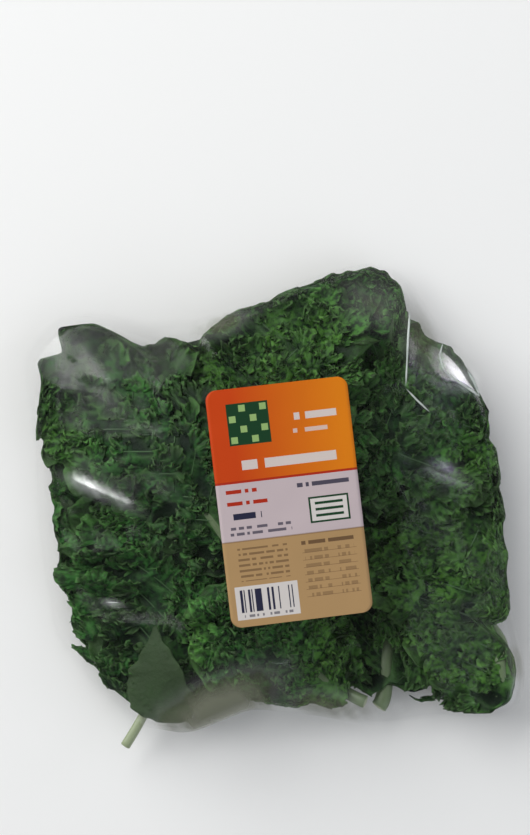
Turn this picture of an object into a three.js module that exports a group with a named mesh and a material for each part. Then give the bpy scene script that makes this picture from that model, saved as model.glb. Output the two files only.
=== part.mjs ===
// A bunch of curly kale in a clear produce bag, with a paper label on the front.
// Units are millimetres, +Z is up. The bag lies on its back with the label on top.
// +Y runs from the open mouth, where the stems are, to the closed end. The origin is
// under the middle of the bag, on the surface that it lies on.

import * as THREE from "three";

// ---- driving dimensions ---------------------------------------------------

const BAG = {
  film: 0.7, // wall of the solid
  sideHeight: 17, // height of the side edges above the surface
  sideBand: 4, // upright band where the front film turns into the back film
  flatShare: 0.55, // share of the plan that lies flat on the surface
  mouthFrom: 205, // degrees round the plan, anticlockwise from +X
  mouthTo: 318,
  lipRise: 11, // how far the front lip lifts in the middle of the mouth
  lipDrop: 7,
  rings: 11, // rings of faces from the middle to the edge
  slope: 0.45, // steepest fall of the film between what holds it up
  edgePower: 30, // how sharply the front film turns down at its edge
};

// Plan of the filled bag, anticlockwise. Its box is centred on the origin afterwards.
const BAG_PLAN = [
  [100, 30], [94, 52], [80, 70], [70, 91], [56, 100], [30, 97], [4, 88], [-24, 84],
  [-45, 84], [-64, 92], [-84, 91], [-99, 76], [-98, 40], [-101, 0], [-99, -44],
  [-86, -66], [-68, -86], [-46, -92], [-18, -84], [8, -90], [36, -99], [62, -98],
  [94, -102], [101, -84], [98, -54], [101, -20],
];

const LABEL = {
  width: 60,
  height: 100,
  corner: 4.5,
  thickness: 0.6,
  x: 8,
  y: 3,
  gap: 0.35, // to the film
  apron: 9, // plane film round the label
  steepest: 0.14, // lean of the label
};

const BLADE = {
  thickness: 0.8,
  rowLength: 5.6, // spacing of the rows of faces along the blade
  columns: 6, // faces across the blade
  waveLength: 27, // of the frill along the margin
  scallop: 0.1, // share of the half width that the lobes stand out
  tip: 1.5, // half width at the tip
  fullest: 0.84, // share of the spread that is left where the blade is widest
};

const STEM = { sides: 7, step: 10, gap: 0.75, tipRadius: 0.9, reach: 0.86 };

const CLEAR = 0.6; // between one leaf and the next, and to the film

// Each leaf from the bottom of the bunch to the top. cut is the cut end of the stem,
// heading the way it leaves there, and bend how far it turns on the way to the tip,
// in degrees. stem, blade and width are lengths; base is the half width where the blade
// starts and taper how soon it narrows to its tip; frill is the height of the margin's
// waves; reach is the share of the bag's plan that the leaf may fill; back is true
// where the leaf's underside is on top.
const LEAVES = [
  {
    name: "leaf_01", cut: [-30, -86], heading: 120, bend: -28, stem: 14, blade: 150,
    width: 104, base: 8, taper: 0.5, radius: 3.2, frill: 3.0, reach: 0.9, back: false,
  },
  {
    name: "leaf_02", cut: [38, -94], heading: 80, bend: 2, stem: 12, blade: 156,
    width: 100, base: 8, taper: 0.5, radius: 3.4, frill: 3.0, reach: 0.95, back: false,
  },
  {
    name: "leaf_03", cut: [4, -84], heading: 96, bend: 3, stem: 18, blade: 146,
    width: 84, base: 6, taper: 0.5, radius: 3.0, frill: 3.0, reach: 0.9, back: true,
  },
  {
    name: "leaf_04", cut: [26, -36], heading: -4, bend: -50, stem: 12, blade: 90,
    width: 88, base: 4, taper: 0.5, radius: 2.5, frill: 3.4, reach: 0.955, back: false,
  },
  {
    name: "leaf_05", cut: [14, 8], heading: 52, bend: 0, stem: 12, blade: 108,
    width: 92, base: 4, taper: 0.5, radius: 2.6, frill: 3.4, reach: 0.955, back: false,
  },
  {
    name: "leaf_06", cut: [-20, 8], heading: 104, bend: 16, stem: 12, blade: 80,
    width: 88, base: 4, taper: 0.5, radius: 2.4, frill: 3.4, reach: 0.955, back: true,
  },
  {
    name: "leaf_07", cut: [94, -97], heading: 100, bend: 14, stem: 4, blade: 122,
    width: 84, base: 20, taper: 0.5, radius: 3.6, frill: 4.4, reach: 0.96, back: false,
  },
  {
    name: "leaf_08", cut: [14, 14], heading: 4, bend: 24, stem: 10, blade: 78,
    width: 82, base: 4, taper: 0.5, radius: 2.2, frill: 4.4, reach: 0.96, back: false,
  },
  {
    name: "leaf_09", cut: [12, -20], heading: 95, bend: -14, stem: 14, blade: 102,
    width: 84, base: 4, taper: 0.5, radius: 2.4, frill: 4.4, reach: 0.955, back: false,
  },
  {
    name: "leaf_10", cut: [-74, -94], heading: 50, bend: 56, stem: 20, blade: 108,
    width: 98, base: 10, taper: 0.5, radius: 2.1, frill: 4.6, reach: 0.96, back: false,
  },
  {
    name: "leaf_11", cut: [-8, -36], heading: 113, bend: 22, stem: 14, blade: 132,
    width: 80, base: 4, taper: 0.5, radius: 2.6, frill: 4.4, reach: 0.96, back: false,
  },
  {
    name: "leaf_12", cut: [31, -88], heading: 147, bend: -40, stem: 12, blade: 68,
    width: 76, base: 4, taper: 0.5, radius: 2.7, frill: 4.2, reach: 0.955, back: false,
  },
  {
    name: "leaf_13", cut: [-55, -87.5], heading: 90, bend: -2, stem: 3, blade: 41,
    width: 29, base: 12, taper: 1.5, radius: 1.4, frill: 0.8, reach: 0.96, back: false,
  },
];

const COLOUR = {
  blade: 0x2f5a2a,
  stem: 0x9db86e,
  film: 0xe8eeec,
  label: 0xe8842a,
};

// ---- small helpers --------------------------------------------------------

const RADIANS = Math.PI / 180;

// A draw between 0 and 1 that is the same every time for the same leaf and use.
function draw(leaf, use) {
  const value = Math.sin(leaf * 12.9898 + use * 78.233) * 43758.5453;
  return value - Math.floor(value);
}

function smoothStep(value) {
  const t = Math.min(1, Math.max(0, value));
  return t * t * (3 - 2 * t);
}

// ---- plan of the bag --------------------------------------------------------

// Distance from the origin to the plan's straight-sided outline, in one direction.
function outlineDistance(points, angle) {
  const dx = Math.cos(angle);
  const dy = Math.sin(angle);
  let found = 0;
  points.forEach(([ax, ay], i) => {
    const [bx, by] = points[(i + 1) % points.length];
    const across = dx * (by - ay) - dy * (bx - ax);
    if (Math.abs(across) < 1e-9) return;
    const along = (ax * (by - ay) - ay * (bx - ax)) / across;
    const share = (ax * dy - ay * dx) / across;
    if (along > found && share >= 0 && share <= 1) found = along;
  });
  return found;
}

// The outline with its corners rounded, as distances at even angles.
function roundedPlan() {
  const xs = BAG_PLAN.map((p) => p[0]);
  const ys = BAG_PLAN.map((p) => p[1]);
  const middleX = (Math.max(...xs) + Math.min(...xs)) / 2;
  const middleY = (Math.max(...ys) + Math.min(...ys)) / 2;
  const points = BAG_PLAN.map(([x, y]) => [x - middleX, y - middleY]);
  const steps = 720;
  const halfWindow = 6;
  const sharp = [];
  for (let i = 0; i < steps; i++) sharp.push(outlineDistance(points, (i / steps) * 2 * Math.PI));
  return sharp.map((_, i) => {
    let sum = 0;
    for (let k = -halfWindow; k <= halfWindow; k++) sum += sharp[(i + k + steps) % steps];
    return sum / (2 * halfWindow + 1);
  });
}

const PLAN = roundedPlan();

function planRadius(angle) {
  const turns = angle / (2 * Math.PI);
  const at = (turns - Math.floor(turns)) * PLAN.length;
  const low = Math.floor(at);
  const share = at - low;
  return PLAN[low % PLAN.length] * (1 - share) + PLAN[(low + 1) % PLAN.length] * share;
}

// Share of the way from the middle of the bag to its edge.
function planShare(x, y) {
  return Math.hypot(x, y) / planRadius(Math.atan2(y, x));
}

// A point moved in from the bag's edge, so that nothing lies past reach.
function squeezed(x, y, reach) {
  const soft = 0.14;
  const share = planShare(x, y);
  const free = reach - soft;
  if (share <= free) return [x, y];
  const kept = free + soft * Math.tanh((share - free) / soft);
  return [(x * kept) / share, (y * kept) / share];
}

// How far the mouth is open in a direction, from 0 at its ends to 1 in the middle.
function mouthShare(angle) {
  const degrees = ((angle / RADIANS) % 360 + 360) % 360;
  const along = (degrees - BAG.mouthFrom) / (BAG.mouthTo - BAG.mouthFrom);
  return along <= 0 || along >= 1 ? 0 : Math.sin(Math.PI * along) ** 2;
}

// Height of the film under the bunch.
function backFilmHeight(x, y) {
  const share = Math.min(1, planShare(x, y));
  const edge = BAG.sideHeight - BAG.sideBand / 2 - BAG.lipDrop * mouthShare(Math.atan2(y, x));
  const t = Math.max(0, (share - BAG.flatShare) / (1 - BAG.flatShare));
  return edge * (1 - Math.sqrt(Math.max(0, 1 - t * t)));
}

// ---- heights on a plan grid --------------------------------------------------

const CELL = 4;
const CELLS = 58;
const GRID_EDGE = (-CELL * (CELLS - 1)) / 2;

function newField(value) {
  return new Float64Array(CELLS * CELLS).fill(value);
}

function cellPlace(index) {
  return GRID_EDGE + index * CELL;
}

function eachCell(visit) {
  for (let j = 0; j < CELLS; j++) {
    for (let i = 0; i < CELLS; i++) visit(j * CELLS + i, i, j);
  }
}

// Height of a field at a point, between its four nearest cells.
function fieldAt(field, x, y) {
  const fx = Math.min(CELLS - 1.001, Math.max(0, (x - GRID_EDGE) / CELL));
  const fy = Math.min(CELLS - 1.001, Math.max(0, (y - GRID_EDGE) / CELL));
  const i = Math.floor(fx);
  const j = Math.floor(fy);
  const a = fx - i;
  const b = fy - j;
  const low = field[j * CELLS + i] * (1 - a) + field[j * CELLS + i + 1] * a;
  const high = field[(j + 1) * CELLS + i] * (1 - a) + field[(j + 1) * CELLS + i + 1] * a;
  return low * (1 - b) + high * b;
}

// The highest value within a square of cells, or their mean.
function windowed(field, radius, mean) {
  let from = field;
  for (const stride of [1, CELLS]) {
    const next = newField(0);
    eachCell((at, i, j) => {
      const place = stride === 1 ? i : j;
      let best = -Infinity;
      let sum = 0;
      for (let k = -radius; k <= radius; k++) {
        const inside = Math.min(CELLS - 1, Math.max(0, place + k)) - place;
        const value = from[at + inside * stride];
        best = Math.max(best, value);
        sum += value;
      }
      next[at] = mean ? sum / (2 * radius + 1) : best;
    });
    from = next;
  }
  return from;
}

// The lowest surface over a field that falls no faster than slope, widened by some
// cells, then smoothed without ever dipping under the field.
function draped(field, slope, widened) {
  const out = windowed(field, widened, false);
  const steps = [[-1, 0, 1], [0, -1, 1], [-1, -1, Math.SQRT2], [1, -1, Math.SQRT2]];
  for (const way of [1, -1]) {
    for (let n = 0; n < CELLS * CELLS; n++) {
      const at = way === 1 ? n : CELLS * CELLS - 1 - n;
      const i = at % CELLS;
      const j = (at - i) / CELLS;
      for (const [di, dj, far] of steps) {
        const ni = i + way * di;
        const nj = j + way * dj;
        if (ni < 0 || nj < 0 || ni >= CELLS || nj >= CELLS) continue;
        out[at] = Math.max(out[at], out[nj * CELLS + ni] - slope * CELL * far);
      }
    }
  }
  return windowed(windowed(out, 1, true), 1, true);
}

// ---- one leaf ----------------------------------------------------------------

// The leaf's middle line in plan: a smooth bend from the cut end to the tip.
function middleLine(leaf, s) {
  const length = leaf.stem + leaf.blade;
  const start = leaf.heading * RADIANS;
  const turn = (leaf.bend * RADIANS) / length;
  const angle = start + turn * s;
  const [x0, y0] = leaf.cut;
  const straight = Math.abs(turn) < 1e-9;
  const x = x0 + (straight ? s * Math.cos(start) : (Math.sin(angle) - Math.sin(start)) / turn);
  const y = y0 + (straight ? s * Math.sin(start) : (Math.cos(start) - Math.cos(angle)) / turn);
  return { x, y, angle };
}

// Half width of the blade, t from 0 where it starts to 1 at the tip.
function halfWidth(leaf, t) {
  const spread = leaf.base + (leaf.width / 2 - leaf.base) * (Math.pow(t, 0.45) / BLADE.fullest);
  return BLADE.tip + (spread - BLADE.tip) * Math.pow(Math.max(0, 1 - Math.pow(t, 3.4)), leaf.taper);
}

// Phase of the frill at a point of the blade.
function frillPhase(leaf, index, t, u) {
  const side = u < 0 ? 0 : 1;
  const waves = Math.max(3, Math.round(leaf.blade / BLADE.waveLength));
  const drift = 0.35 * Math.sin(2 * Math.PI * (t * 1.7 + draw(index, 4 + side)));
  return 2 * Math.PI * (waves * t + draw(index, side) + drift) - 1.3 * Math.abs(u);
}

// Height that the frill may reach at a point of the blade, less where the bag is thin.
function frillHeight(leaf, t, u, x, y) {
  const squeeze = 1 - 0.45 * smoothStep((planShare(x, y) - 0.6) / 0.4);
  const start = smoothStep(t / 0.18);
  return leaf.frill * squeeze * start * Math.pow(Math.abs(u), 1.5);
}

function stemRadius(leaf, s) {
  const length = (leaf.stem + leaf.blade) * STEM.reach;
  const t = Math.min(1, s / length);
  return STEM.tipRadius + (leaf.radius - STEM.tipRadius) * Math.pow(1 - t, 0.8);
}

// Plan place of a blade point, u from -1 at the right margin to 1 at the left one.
function bladePlan(leaf, index, t, u) {
  const line = middleLine(leaf, leaf.stem + leaf.blade * t);
  const lobes = 1 + BLADE.scallop * Math.cos(frillPhase(leaf, index, t, u)) * Math.abs(u);
  const out = halfWidth(leaf, t) * u * lobes;
  const forward = 0.16 * halfWidth(leaf, t) * u * u;
  const x = line.x - Math.sin(line.angle) * out + Math.cos(line.angle) * forward;
  const y = line.y + Math.cos(line.angle) * out + Math.sin(line.angle) * forward;
  return squeezed(x, y, leaf.reach);
}

// Plan place of the stem's middle. A cut end that starts outside the bag stays there.
function stemPlan(leaf, s) {
  const line = middleLine(leaf, s);
  const [x, y] = squeezed(line.x, line.y, leaf.reach);
  const outside = planShare(...leaf.cut) > 1 ? 1 - smoothStep(s / (leaf.stem + 14)) : 0;
  return [x + (line.x - x) * outside, y + (line.y - y) * outside];
}

// How far the leaf stands above and below its own middle sheet, cell by cell.
function leafEnvelope(leaf, index) {
  const above = newField(-Infinity);
  const below = newField(-Infinity);
  const step = 2;
  const mark = (x, y, up, down) => {
    const i = Math.round((x - GRID_EDGE) / CELL);
    const j = Math.round((y - GRID_EDGE) / CELL);
    if (i < 0 || j < 0 || i >= CELLS || j >= CELLS) return;
    const at = j * CELLS + i;
    above[at] = Math.max(above[at], up);
    below[at] = Math.max(below[at], down);
  };
  for (let s = 0; s <= leaf.blade; s += step) {
    const t = s / leaf.blade;
    const columns = Math.ceil(leaf.width / step);
    for (let c = 0; c <= columns; c++) {
      const u = (2 * c) / columns - 1;
      const [x, y] = bladePlan(leaf, index, t, u);
      const high = BLADE.thickness / 2 + frillHeight(leaf, t, u, x, y);
      mark(x, y, high, high);
    }
  }
  for (let s = 0; s <= (leaf.stem + leaf.blade) * STEM.reach; s += step) {
    const [x, y] = stemPlan(leaf, s);
    const radius = stemRadius(leaf, s);
    const rod = BLADE.thickness / 2 + STEM.gap + 2 * radius;
    for (const dx of [-radius, 0, radius]) {
      for (const dy of [-radius, 0, radius]) {
        mark(x + dx, y + dy, leaf.back ? rod : 0, leaf.back ? 0 : rod);
      }
    }
  }
  return { above, below };
}

// Lays the leaves on each other in turn. Returns each leaf's middle sheet as a field,
// and the top of the whole bunch.
function layBunch() {
  const top = newField(0);
  eachCell((at, i, j) => {
    top[at] = backFilmHeight(cellPlace(i), cellPlace(j)) + BAG.film + CLEAR;
  });
  const sheets = LEAVES.map((leaf, index) => {
    const { above, below } = leafEnvelope(leaf, index);
    const need = newField(0);
    eachCell((at) => {
      need[at] = below[at] > -Infinity ? top[at] + below[at] + CLEAR : -100;
    });
    const sheet = draped(need, 0.5, 1);
    eachCell((at) => {
      if (above[at] > -Infinity) top[at] = Math.max(top[at], sheet[at] + above[at]);
    });
    return sheet;
  });
  return { sheets, top };
}

// ---- solids -------------------------------------------------------------------

function meshOf(name, positions, faces, material) {
  const geometry = new THREE.BufferGeometry();
  geometry.setAttribute("position", new THREE.Float32BufferAttribute(positions.flat(), 3));
  geometry.setIndex(faces.flat());
  geometry.computeVertexNormals();
  const mesh = new THREE.Mesh(geometry, material);
  mesh.name = name;
  return mesh;
}

// Unit normals of a grid of points, from its neighbours.
function gridNormals(points) {
  const rows = points.length - 1;
  const columns = points[0].length - 1;
  return points.map((row, r) =>
    row.map((_, c) => {
      const [before, after] = [points[Math.max(0, r - 1)][c], points[Math.min(rows, r + 1)][c]];
      const [left, right] = [points[r][Math.max(0, c - 1)], points[r][Math.min(columns, c + 1)]];
      const along = new THREE.Vector3().subVectors(after, before);
      const across = new THREE.Vector3().subVectors(right, left);
      return new THREE.Vector3().crossVectors(along, across).normalize();
    }),
  );
}

// A thin closed sheet around a grid of points, split alike on both faces.
function sheetSolid(name, points, thickness, material) {
  const rows = points.length;
  const columns = points[0].length;
  const normals = gridNormals(points);
  const positions = [];
  for (const side of [0.5, -0.5]) {
    points.forEach((row, r) =>
      row.forEach((p, c) => {
        positions.push(p.clone().addScaledVector(normals[r][c], side * thickness).toArray());
      }),
    );
  }
  const low = rows * columns;
  const at = (r, c) => r * columns + c;
  const faces = [];
  for (let r = 0; r < rows - 1; r++) {
    for (let c = 0; c < columns - 1; c++) {
      const [a, b, d, e] = [at(r, c), at(r, c + 1), at(r + 1, c), at(r + 1, c + 1)];
      faces.push([a, d, b], [b, d, e]);
      faces.push([low + a, low + b, low + d], [low + b, low + e, low + d]);
    }
  }
  const rim = [];
  for (let c = 0; c < columns - 1; c++) rim.push(at(0, c));
  for (let r = 0; r < rows - 1; r++) rim.push(at(r, columns - 1));
  for (let c = columns - 1; c > 0; c--) rim.push(at(rows - 1, c));
  for (let r = rows - 1; r > 0; r--) rim.push(at(r, 0));
  rim.forEach((a, k) => {
    const b = rim[(k + 1) % rim.length];
    faces.push([a, b, low + a], [b, low + b, low + a]);
  });
  return meshOf(name, positions, faces, material);
}

function bladeMesh(leaf, index, sheet, material) {
  const rows = Math.round(leaf.blade / BLADE.rowLength);
  const points = [];
  for (let r = 0; r <= rows; r++) {
    const t = r / rows;
    const row = [];
    for (let c = 0; c <= BLADE.columns; c++) {
      const even = (2 * c) / BLADE.columns - 1;
      const u = Math.sign(even) * Math.pow(Math.abs(even), 0.85);
      const [x, y] = bladePlan(leaf, index, t, u);
      const wave = frillHeight(leaf, t, u, x, y) * Math.sin(frillPhase(leaf, index, t, u));
      row.push(new THREE.Vector3(x, y, fieldAt(sheet, x, y) + wave));
    }
    points.push(row);
  }
  return sheetSolid(`${leaf.name}_blade`, points, BLADE.thickness, material);
}

// A round rod under the blade, from the cut end along the leaf's middle line.
function stemMesh(leaf, sheet, material) {
  const length = (leaf.stem + leaf.blade) * STEM.reach;
  const steps = Math.round(length / STEM.step);
  const side = leaf.back ? 1 : -1;
  const centres = [];
  for (let k = 0; k <= steps; k++) {
    const s = (length * k) / steps;
    const [x, y] = stemPlan(leaf, s);
    const offset = BLADE.thickness / 2 + STEM.gap + stemRadius(leaf, s);
    centres.push(new THREE.Vector3(x, y, fieldAt(sheet, x, y) + side * offset));
  }
  const positions = [];
  centres.forEach((centre, k) => {
    const ahead = centres[Math.min(steps, k + 1)];
    const behind = centres[Math.max(0, k - 1)];
    const along = new THREE.Vector3().subVectors(ahead, behind).normalize();
    const right = new THREE.Vector3().crossVectors(along, new THREE.Vector3(0, 0, 1)).normalize();
    const up = new THREE.Vector3().crossVectors(right, along);
    const radius = stemRadius(leaf, (length * k) / steps);
    for (let n = 0; n < STEM.sides; n++) {
      const angle = ((n + 0.5) / STEM.sides) * 2 * Math.PI;
      const p = centre.clone().addScaledVector(right, radius * Math.cos(angle));
      positions.push(p.addScaledVector(up, radius * Math.sin(angle)).toArray());
    }
  });
  const faces = [];
  for (let k = 0; k < steps; k++) {
    for (let n = 0; n < STEM.sides; n++) {
      const next = (n + 1) % STEM.sides;
      const [a, b] = [k * STEM.sides + n, k * STEM.sides + next];
      const [d, e] = [a + STEM.sides, b + STEM.sides];
      faces.push([a, d, b], [b, d, e]);
    }
  }
  for (let n = 1; n < STEM.sides - 1; n++) {
    const end = steps * STEM.sides;
    faces.push([0, n, n + 1], [end, end + n + 1, end + n]);
  }
  return meshOf(`${leaf.name}_stem`, positions, faces, material);
}

// ---- bag and label --------------------------------------------------------------

function nearLabel(x, y, margin) {
  const [awayX, awayY] = [Math.abs(x - LABEL.x), Math.abs(y - LABEL.y)];
  return awayX < LABEL.width / 2 + margin && awayY < LABEL.height / 2 + margin;
}

// How round the front film turns down to the side edge, from 1 to 0 at the edge.
function edgeFall(share) {
  return Math.sqrt(Math.max(0, 1 - Math.pow(Math.min(1, share), BAG.edgePower)));
}

// Height of the front film's edge in one direction.
function frontEdge(angle) {
  return BAG.sideHeight + BAG.sideBand / 2 + BAG.lipRise * mouthShare(angle);
}

// The plane that rests on a field in the label's place: height in the middle, and
// how fast it rises along X and Y.
function restingPlane(field) {
  const sums = { n: 0, z: 0, xx: 0, yy: 0, xz: 0, yz: 0 };
  eachCell((at, i, j) => {
    const [x, y] = [cellPlace(i) - LABEL.x, cellPlace(j) - LABEL.y];
    if (Math.abs(x) > LABEL.width / 2 || Math.abs(y) > LABEL.height / 2) return;
    sums.n += 1;
    sums.z += field[at];
    sums.xx += x * x;
    sums.yy += y * y;
    sums.xz += x * field[at];
    sums.yz += y * field[at];
  });
  const limit = LABEL.steepest;
  const alongX = Math.max(-limit, Math.min(limit, sums.xz / sums.xx));
  const alongY = Math.max(-limit, Math.min(limit, sums.yz / sums.yy));
  let middle = 0;
  eachCell((at, i, j) => {
    const [x, y] = [cellPlace(i), cellPlace(j)];
    if (!nearLabel(x, y, LABEL.apron)) return;
    middle = Math.max(middle, field[at] - alongX * (x - LABEL.x) - alongY * (y - LABEL.y));
  });
  return { middle, alongX, alongY };
}

// The front film over the bunch as a field, a plane under the label.
function frontFilm(top) {
  const need = newField(0);
  eachCell((at, i, j) => {
    const [x, y] = [cellPlace(i), cellPlace(j)];
    const share = planShare(x, y);
    const edge = frontEdge(Math.atan2(y, x));
    const rise = top[at] + BAG.film + CLEAR - edge;
    need[at] = edge + Math.max(4, share < 0.99 ? rise / edgeFall(share) : 0);
  });
  const loose = draped(need, BAG.slope, 4);
  const plane = restingPlane(loose);
  const flat = (x, y) => plane.middle + plane.alongX * (x - LABEL.x) + plane.alongY * (y - LABEL.y);
  const raised = loose.slice();
  eachCell((at, i, j) => {
    const [x, y] = [cellPlace(i), cellPlace(j)];
    if (nearLabel(x, y, LABEL.apron)) raised[at] = flat(x, y);
  });
  const film = draped(raised, BAG.slope, 1);
  eachCell((at, i, j) => {
    const [x, y] = [cellPlace(i), cellPlace(j)];
    if (nearLabel(x, y, LABEL.apron)) film[at] = flat(x, y);
  });
  return { film, plane };
}

// A square grid of directions and distances, pulled round to the bag's plan.
function bagGrid() {
  const n = BAG.rings;
  const grid = [];
  for (let j = -n; j <= n; j++) {
    const row = [];
    for (let i = -n; i <= n; i++) {
      const ring = Math.max(Math.abs(i), Math.abs(j));
      const angle = Math.atan2(j, i);
      row.push({ angle, share: Math.sin((Math.PI / 2) * (ring / n)), rim: ring === n });
    }
    grid.push(row);
  }
  return grid;
}

// One face of the film, as points over the bag's plan.
function filmPoints(grid, height) {
  return grid.map((row) =>
    row.map(({ angle, share }) => {
      const reach = share * planRadius(angle);
      const [x, y] = [reach * Math.cos(angle), reach * Math.sin(angle)];
      return new THREE.Vector3(x, y, height(x, y, angle, share));
    }),
  );
}

// The same face moved into the bag by the thickness of the film.
function insidePoints(points, grid, way) {
  const normals = gridNormals(points);
  return points.map((row, r) =>
    row.map((p, c) => {
      const inward = -way * Math.sign(normals[r][c].z) * BAG.film;
      if (!grid[r][c].rim) return p.clone().addScaledVector(normals[r][c], inward);
      const shrink = 1 - BAG.film / Math.hypot(p.x, p.y);
      return new THREE.Vector3(p.x * shrink, p.y * shrink, p.z - way * 0.5 * BAG.film);
    }),
  );
}

// The film as one body: front, back and side edges, open along the mouth.
function bagMesh(film, material) {
  const grid = bagGrid();
  const size = grid.length;
  const front = filmPoints(grid, (x, y, angle, share) => {
    const edge = frontEdge(angle);
    return edge + (fieldAt(film, x, y) - edge) * edgeFall(share);
  });
  const back = filmPoints(grid, (x, y) => backFilmHeight(x, y));
  const skins = [front, insidePoints(front, grid, 1), back, insidePoints(back, grid, -1)];
  const positions = [];
  skins.forEach((skin) => skin.forEach((row) => row.forEach((p) => positions.push(p.toArray()))));
  const at = (skin, r, c) => skin * size * size + r * size + c;
  const faces = [];
  const up = [true, false, false, true];
  skins.forEach((_, skin) => {
    for (let r = 0; r < size - 1; r++) {
      for (let c = 0; c < size - 1; c++) {
        const [a, b] = [at(skin, r, c), at(skin, r, c + 1)];
        const [d, e] = [at(skin, r + 1, c), at(skin, r + 1, c + 1)];
        const falling = (r < (size - 1) / 2) === (c < (size - 1) / 2);
        const split = falling ? [[a, b, e], [a, e, d]] : [[a, b, d], [b, e, d]];
        split.forEach(([p, q, t]) => faces.push(up[skin] ? [p, q, t] : [p, t, q]));
      }
    }
  });
  const rim = [];
  for (let c = 0; c < size - 1; c++) rim.push([0, c]);
  for (let r = 0; r < size - 1; r++) rim.push([r, size - 1]);
  for (let c = size - 1; c > 0; c--) rim.push([size - 1, c]);
  for (let r = size - 1; r > 0; r--) rim.push([r, 0]);
  const quad = (a, b, c, d) => faces.push([a, b, c], [a, c, d]);
  const open = rim.map(([r, c], k) => {
    const [nr, nc] = rim[(k + 1) % rim.length];
    return mouthShare(grid[r][c].angle) > 0 || mouthShare(grid[nr][nc].angle) > 0;
  });
  rim.forEach(([r, c], k) => {
    const [nr, nc] = rim[(k + 1) % rim.length];
    const [outTop, inTop, outLow, inLow] = [0, 1, 2, 3].map((skin) => at(skin, r, c));
    const [nextOutTop, nextInTop, nextOutLow, nextInLow] = [0, 1, 2, 3].map((skin) => at(skin, nr, nc));
    if (open[k]) {
      quad(outTop, inTop, nextInTop, nextOutTop);
      quad(outLow, nextOutLow, nextInLow, inLow);
    } else {
      quad(outTop, outLow, nextOutLow, nextOutTop);
      quad(inTop, nextInTop, nextInLow, inLow);
    }
    const before = open[(k - 1 + rim.length) % rim.length];
    if (open[k] && !before) quad(outTop, outLow, inLow, inTop);
    if (!open[k] && before) quad(outTop, inTop, inLow, outLow);
  });
  return meshOf("bag", positions, faces, material);
}

// The label as a thin flat slab with round corners, lying on the front film.
function labelMesh(plane, material) {
  const shape = new THREE.Shape();
  const [w, h, r] = [LABEL.width / 2, LABEL.height / 2, LABEL.corner];
  shape.absarc(w - r, h - r, r, 0, Math.PI / 2);
  shape.absarc(-w + r, h - r, r, Math.PI / 2, Math.PI);
  shape.absarc(-w + r, -h + r, r, Math.PI, 1.5 * Math.PI);
  shape.absarc(w - r, -h + r, r, 1.5 * Math.PI, 2 * Math.PI);
  const sheet = { depth: LABEL.thickness, bevelEnabled: false, curveSegments: 8 };
  const geometry = new THREE.ExtrudeGeometry(shape, sheet);
  const up = new THREE.Vector3(-plane.alongX, -plane.alongY, 1).normalize();
  const lean = new THREE.Quaternion().setFromUnitVectors(new THREE.Vector3(0, 0, 1), up);
  geometry.translate(0, 0, LABEL.gap);
  geometry.applyQuaternion(lean);
  geometry.translate(LABEL.x, LABEL.y, plane.middle);
  const mesh = new THREE.Mesh(geometry, material);
  mesh.name = "label";
  return mesh;
}

// ---- the whole part ---------------------------------------------------------------

const materials = {
  blade: new THREE.MeshStandardMaterial({
    color: COLOUR.blade, roughness: 0.6, metalness: 0, side: THREE.DoubleSide,
  }),
  stem: new THREE.MeshStandardMaterial({ color: COLOUR.stem, roughness: 0.5, metalness: 0 }),
  film: new THREE.MeshStandardMaterial({
    color: COLOUR.film, roughness: 0.15, metalness: 0, transparent: true, opacity: 0.25,
  }),
  label: new THREE.MeshStandardMaterial({ color: COLOUR.label, roughness: 0.5, metalness: 0 }),
};

const bunch = new THREE.Group();
const { sheets, top } = layBunch();
LEAVES.forEach((leaf, index) => {
  bunch.add(bladeMesh(leaf, index, sheets[index], materials.blade));
  bunch.add(stemMesh(leaf, sheets[index], materials.stem));
});
const { film, plane } = frontFilm(top);
bunch.add(bagMesh(film, materials.film));
bunch.add(labelMesh(plane, materials.label));

export default bunch;
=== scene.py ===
"""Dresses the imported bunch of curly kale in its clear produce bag.

Each leaf, the bag and the label are built again here from the same named sizes as
the solids, with the frills, veins, folds and print that those leave out. Sizes are
in millimetres until a mesh is written, and metres after that.
"""

from __future__ import annotations

import logging
import math
from dataclasses import dataclass
from enum import Enum

import bpy
import numpy as np
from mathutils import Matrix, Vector


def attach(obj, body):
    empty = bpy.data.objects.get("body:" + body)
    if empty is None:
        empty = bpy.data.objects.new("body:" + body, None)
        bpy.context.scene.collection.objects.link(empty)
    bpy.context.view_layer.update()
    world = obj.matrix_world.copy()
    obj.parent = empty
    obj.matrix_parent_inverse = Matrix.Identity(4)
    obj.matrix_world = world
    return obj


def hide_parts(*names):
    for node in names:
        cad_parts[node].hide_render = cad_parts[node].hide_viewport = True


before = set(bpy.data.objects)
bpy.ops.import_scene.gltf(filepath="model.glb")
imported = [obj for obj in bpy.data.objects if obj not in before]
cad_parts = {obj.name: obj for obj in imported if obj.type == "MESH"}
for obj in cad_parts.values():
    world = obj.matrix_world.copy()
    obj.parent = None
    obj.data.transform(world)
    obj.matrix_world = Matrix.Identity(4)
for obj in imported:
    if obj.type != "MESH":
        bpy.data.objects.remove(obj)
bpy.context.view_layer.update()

Array = np.ndarray
Piece = bpy.types.Object
Finish = bpy.types.Material
Tree = bpy.types.NodeTree
Node = bpy.types.Node
Socket = bpy.types.NodeSocket

LOG = logging.getLogger("kale_bunch")
MM = 0.001
TINY, TINIEST = 1e-6, 1e-9
BODY = "root"
# What scatters the numbers that belong to a leaf, and the size of the noise's table.
LEAF_STEP, USE_STEP, SCATTER = 12.9898, 78.233, 43758.5453
LATTICE = 64


# --- Small helpers ---


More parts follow.
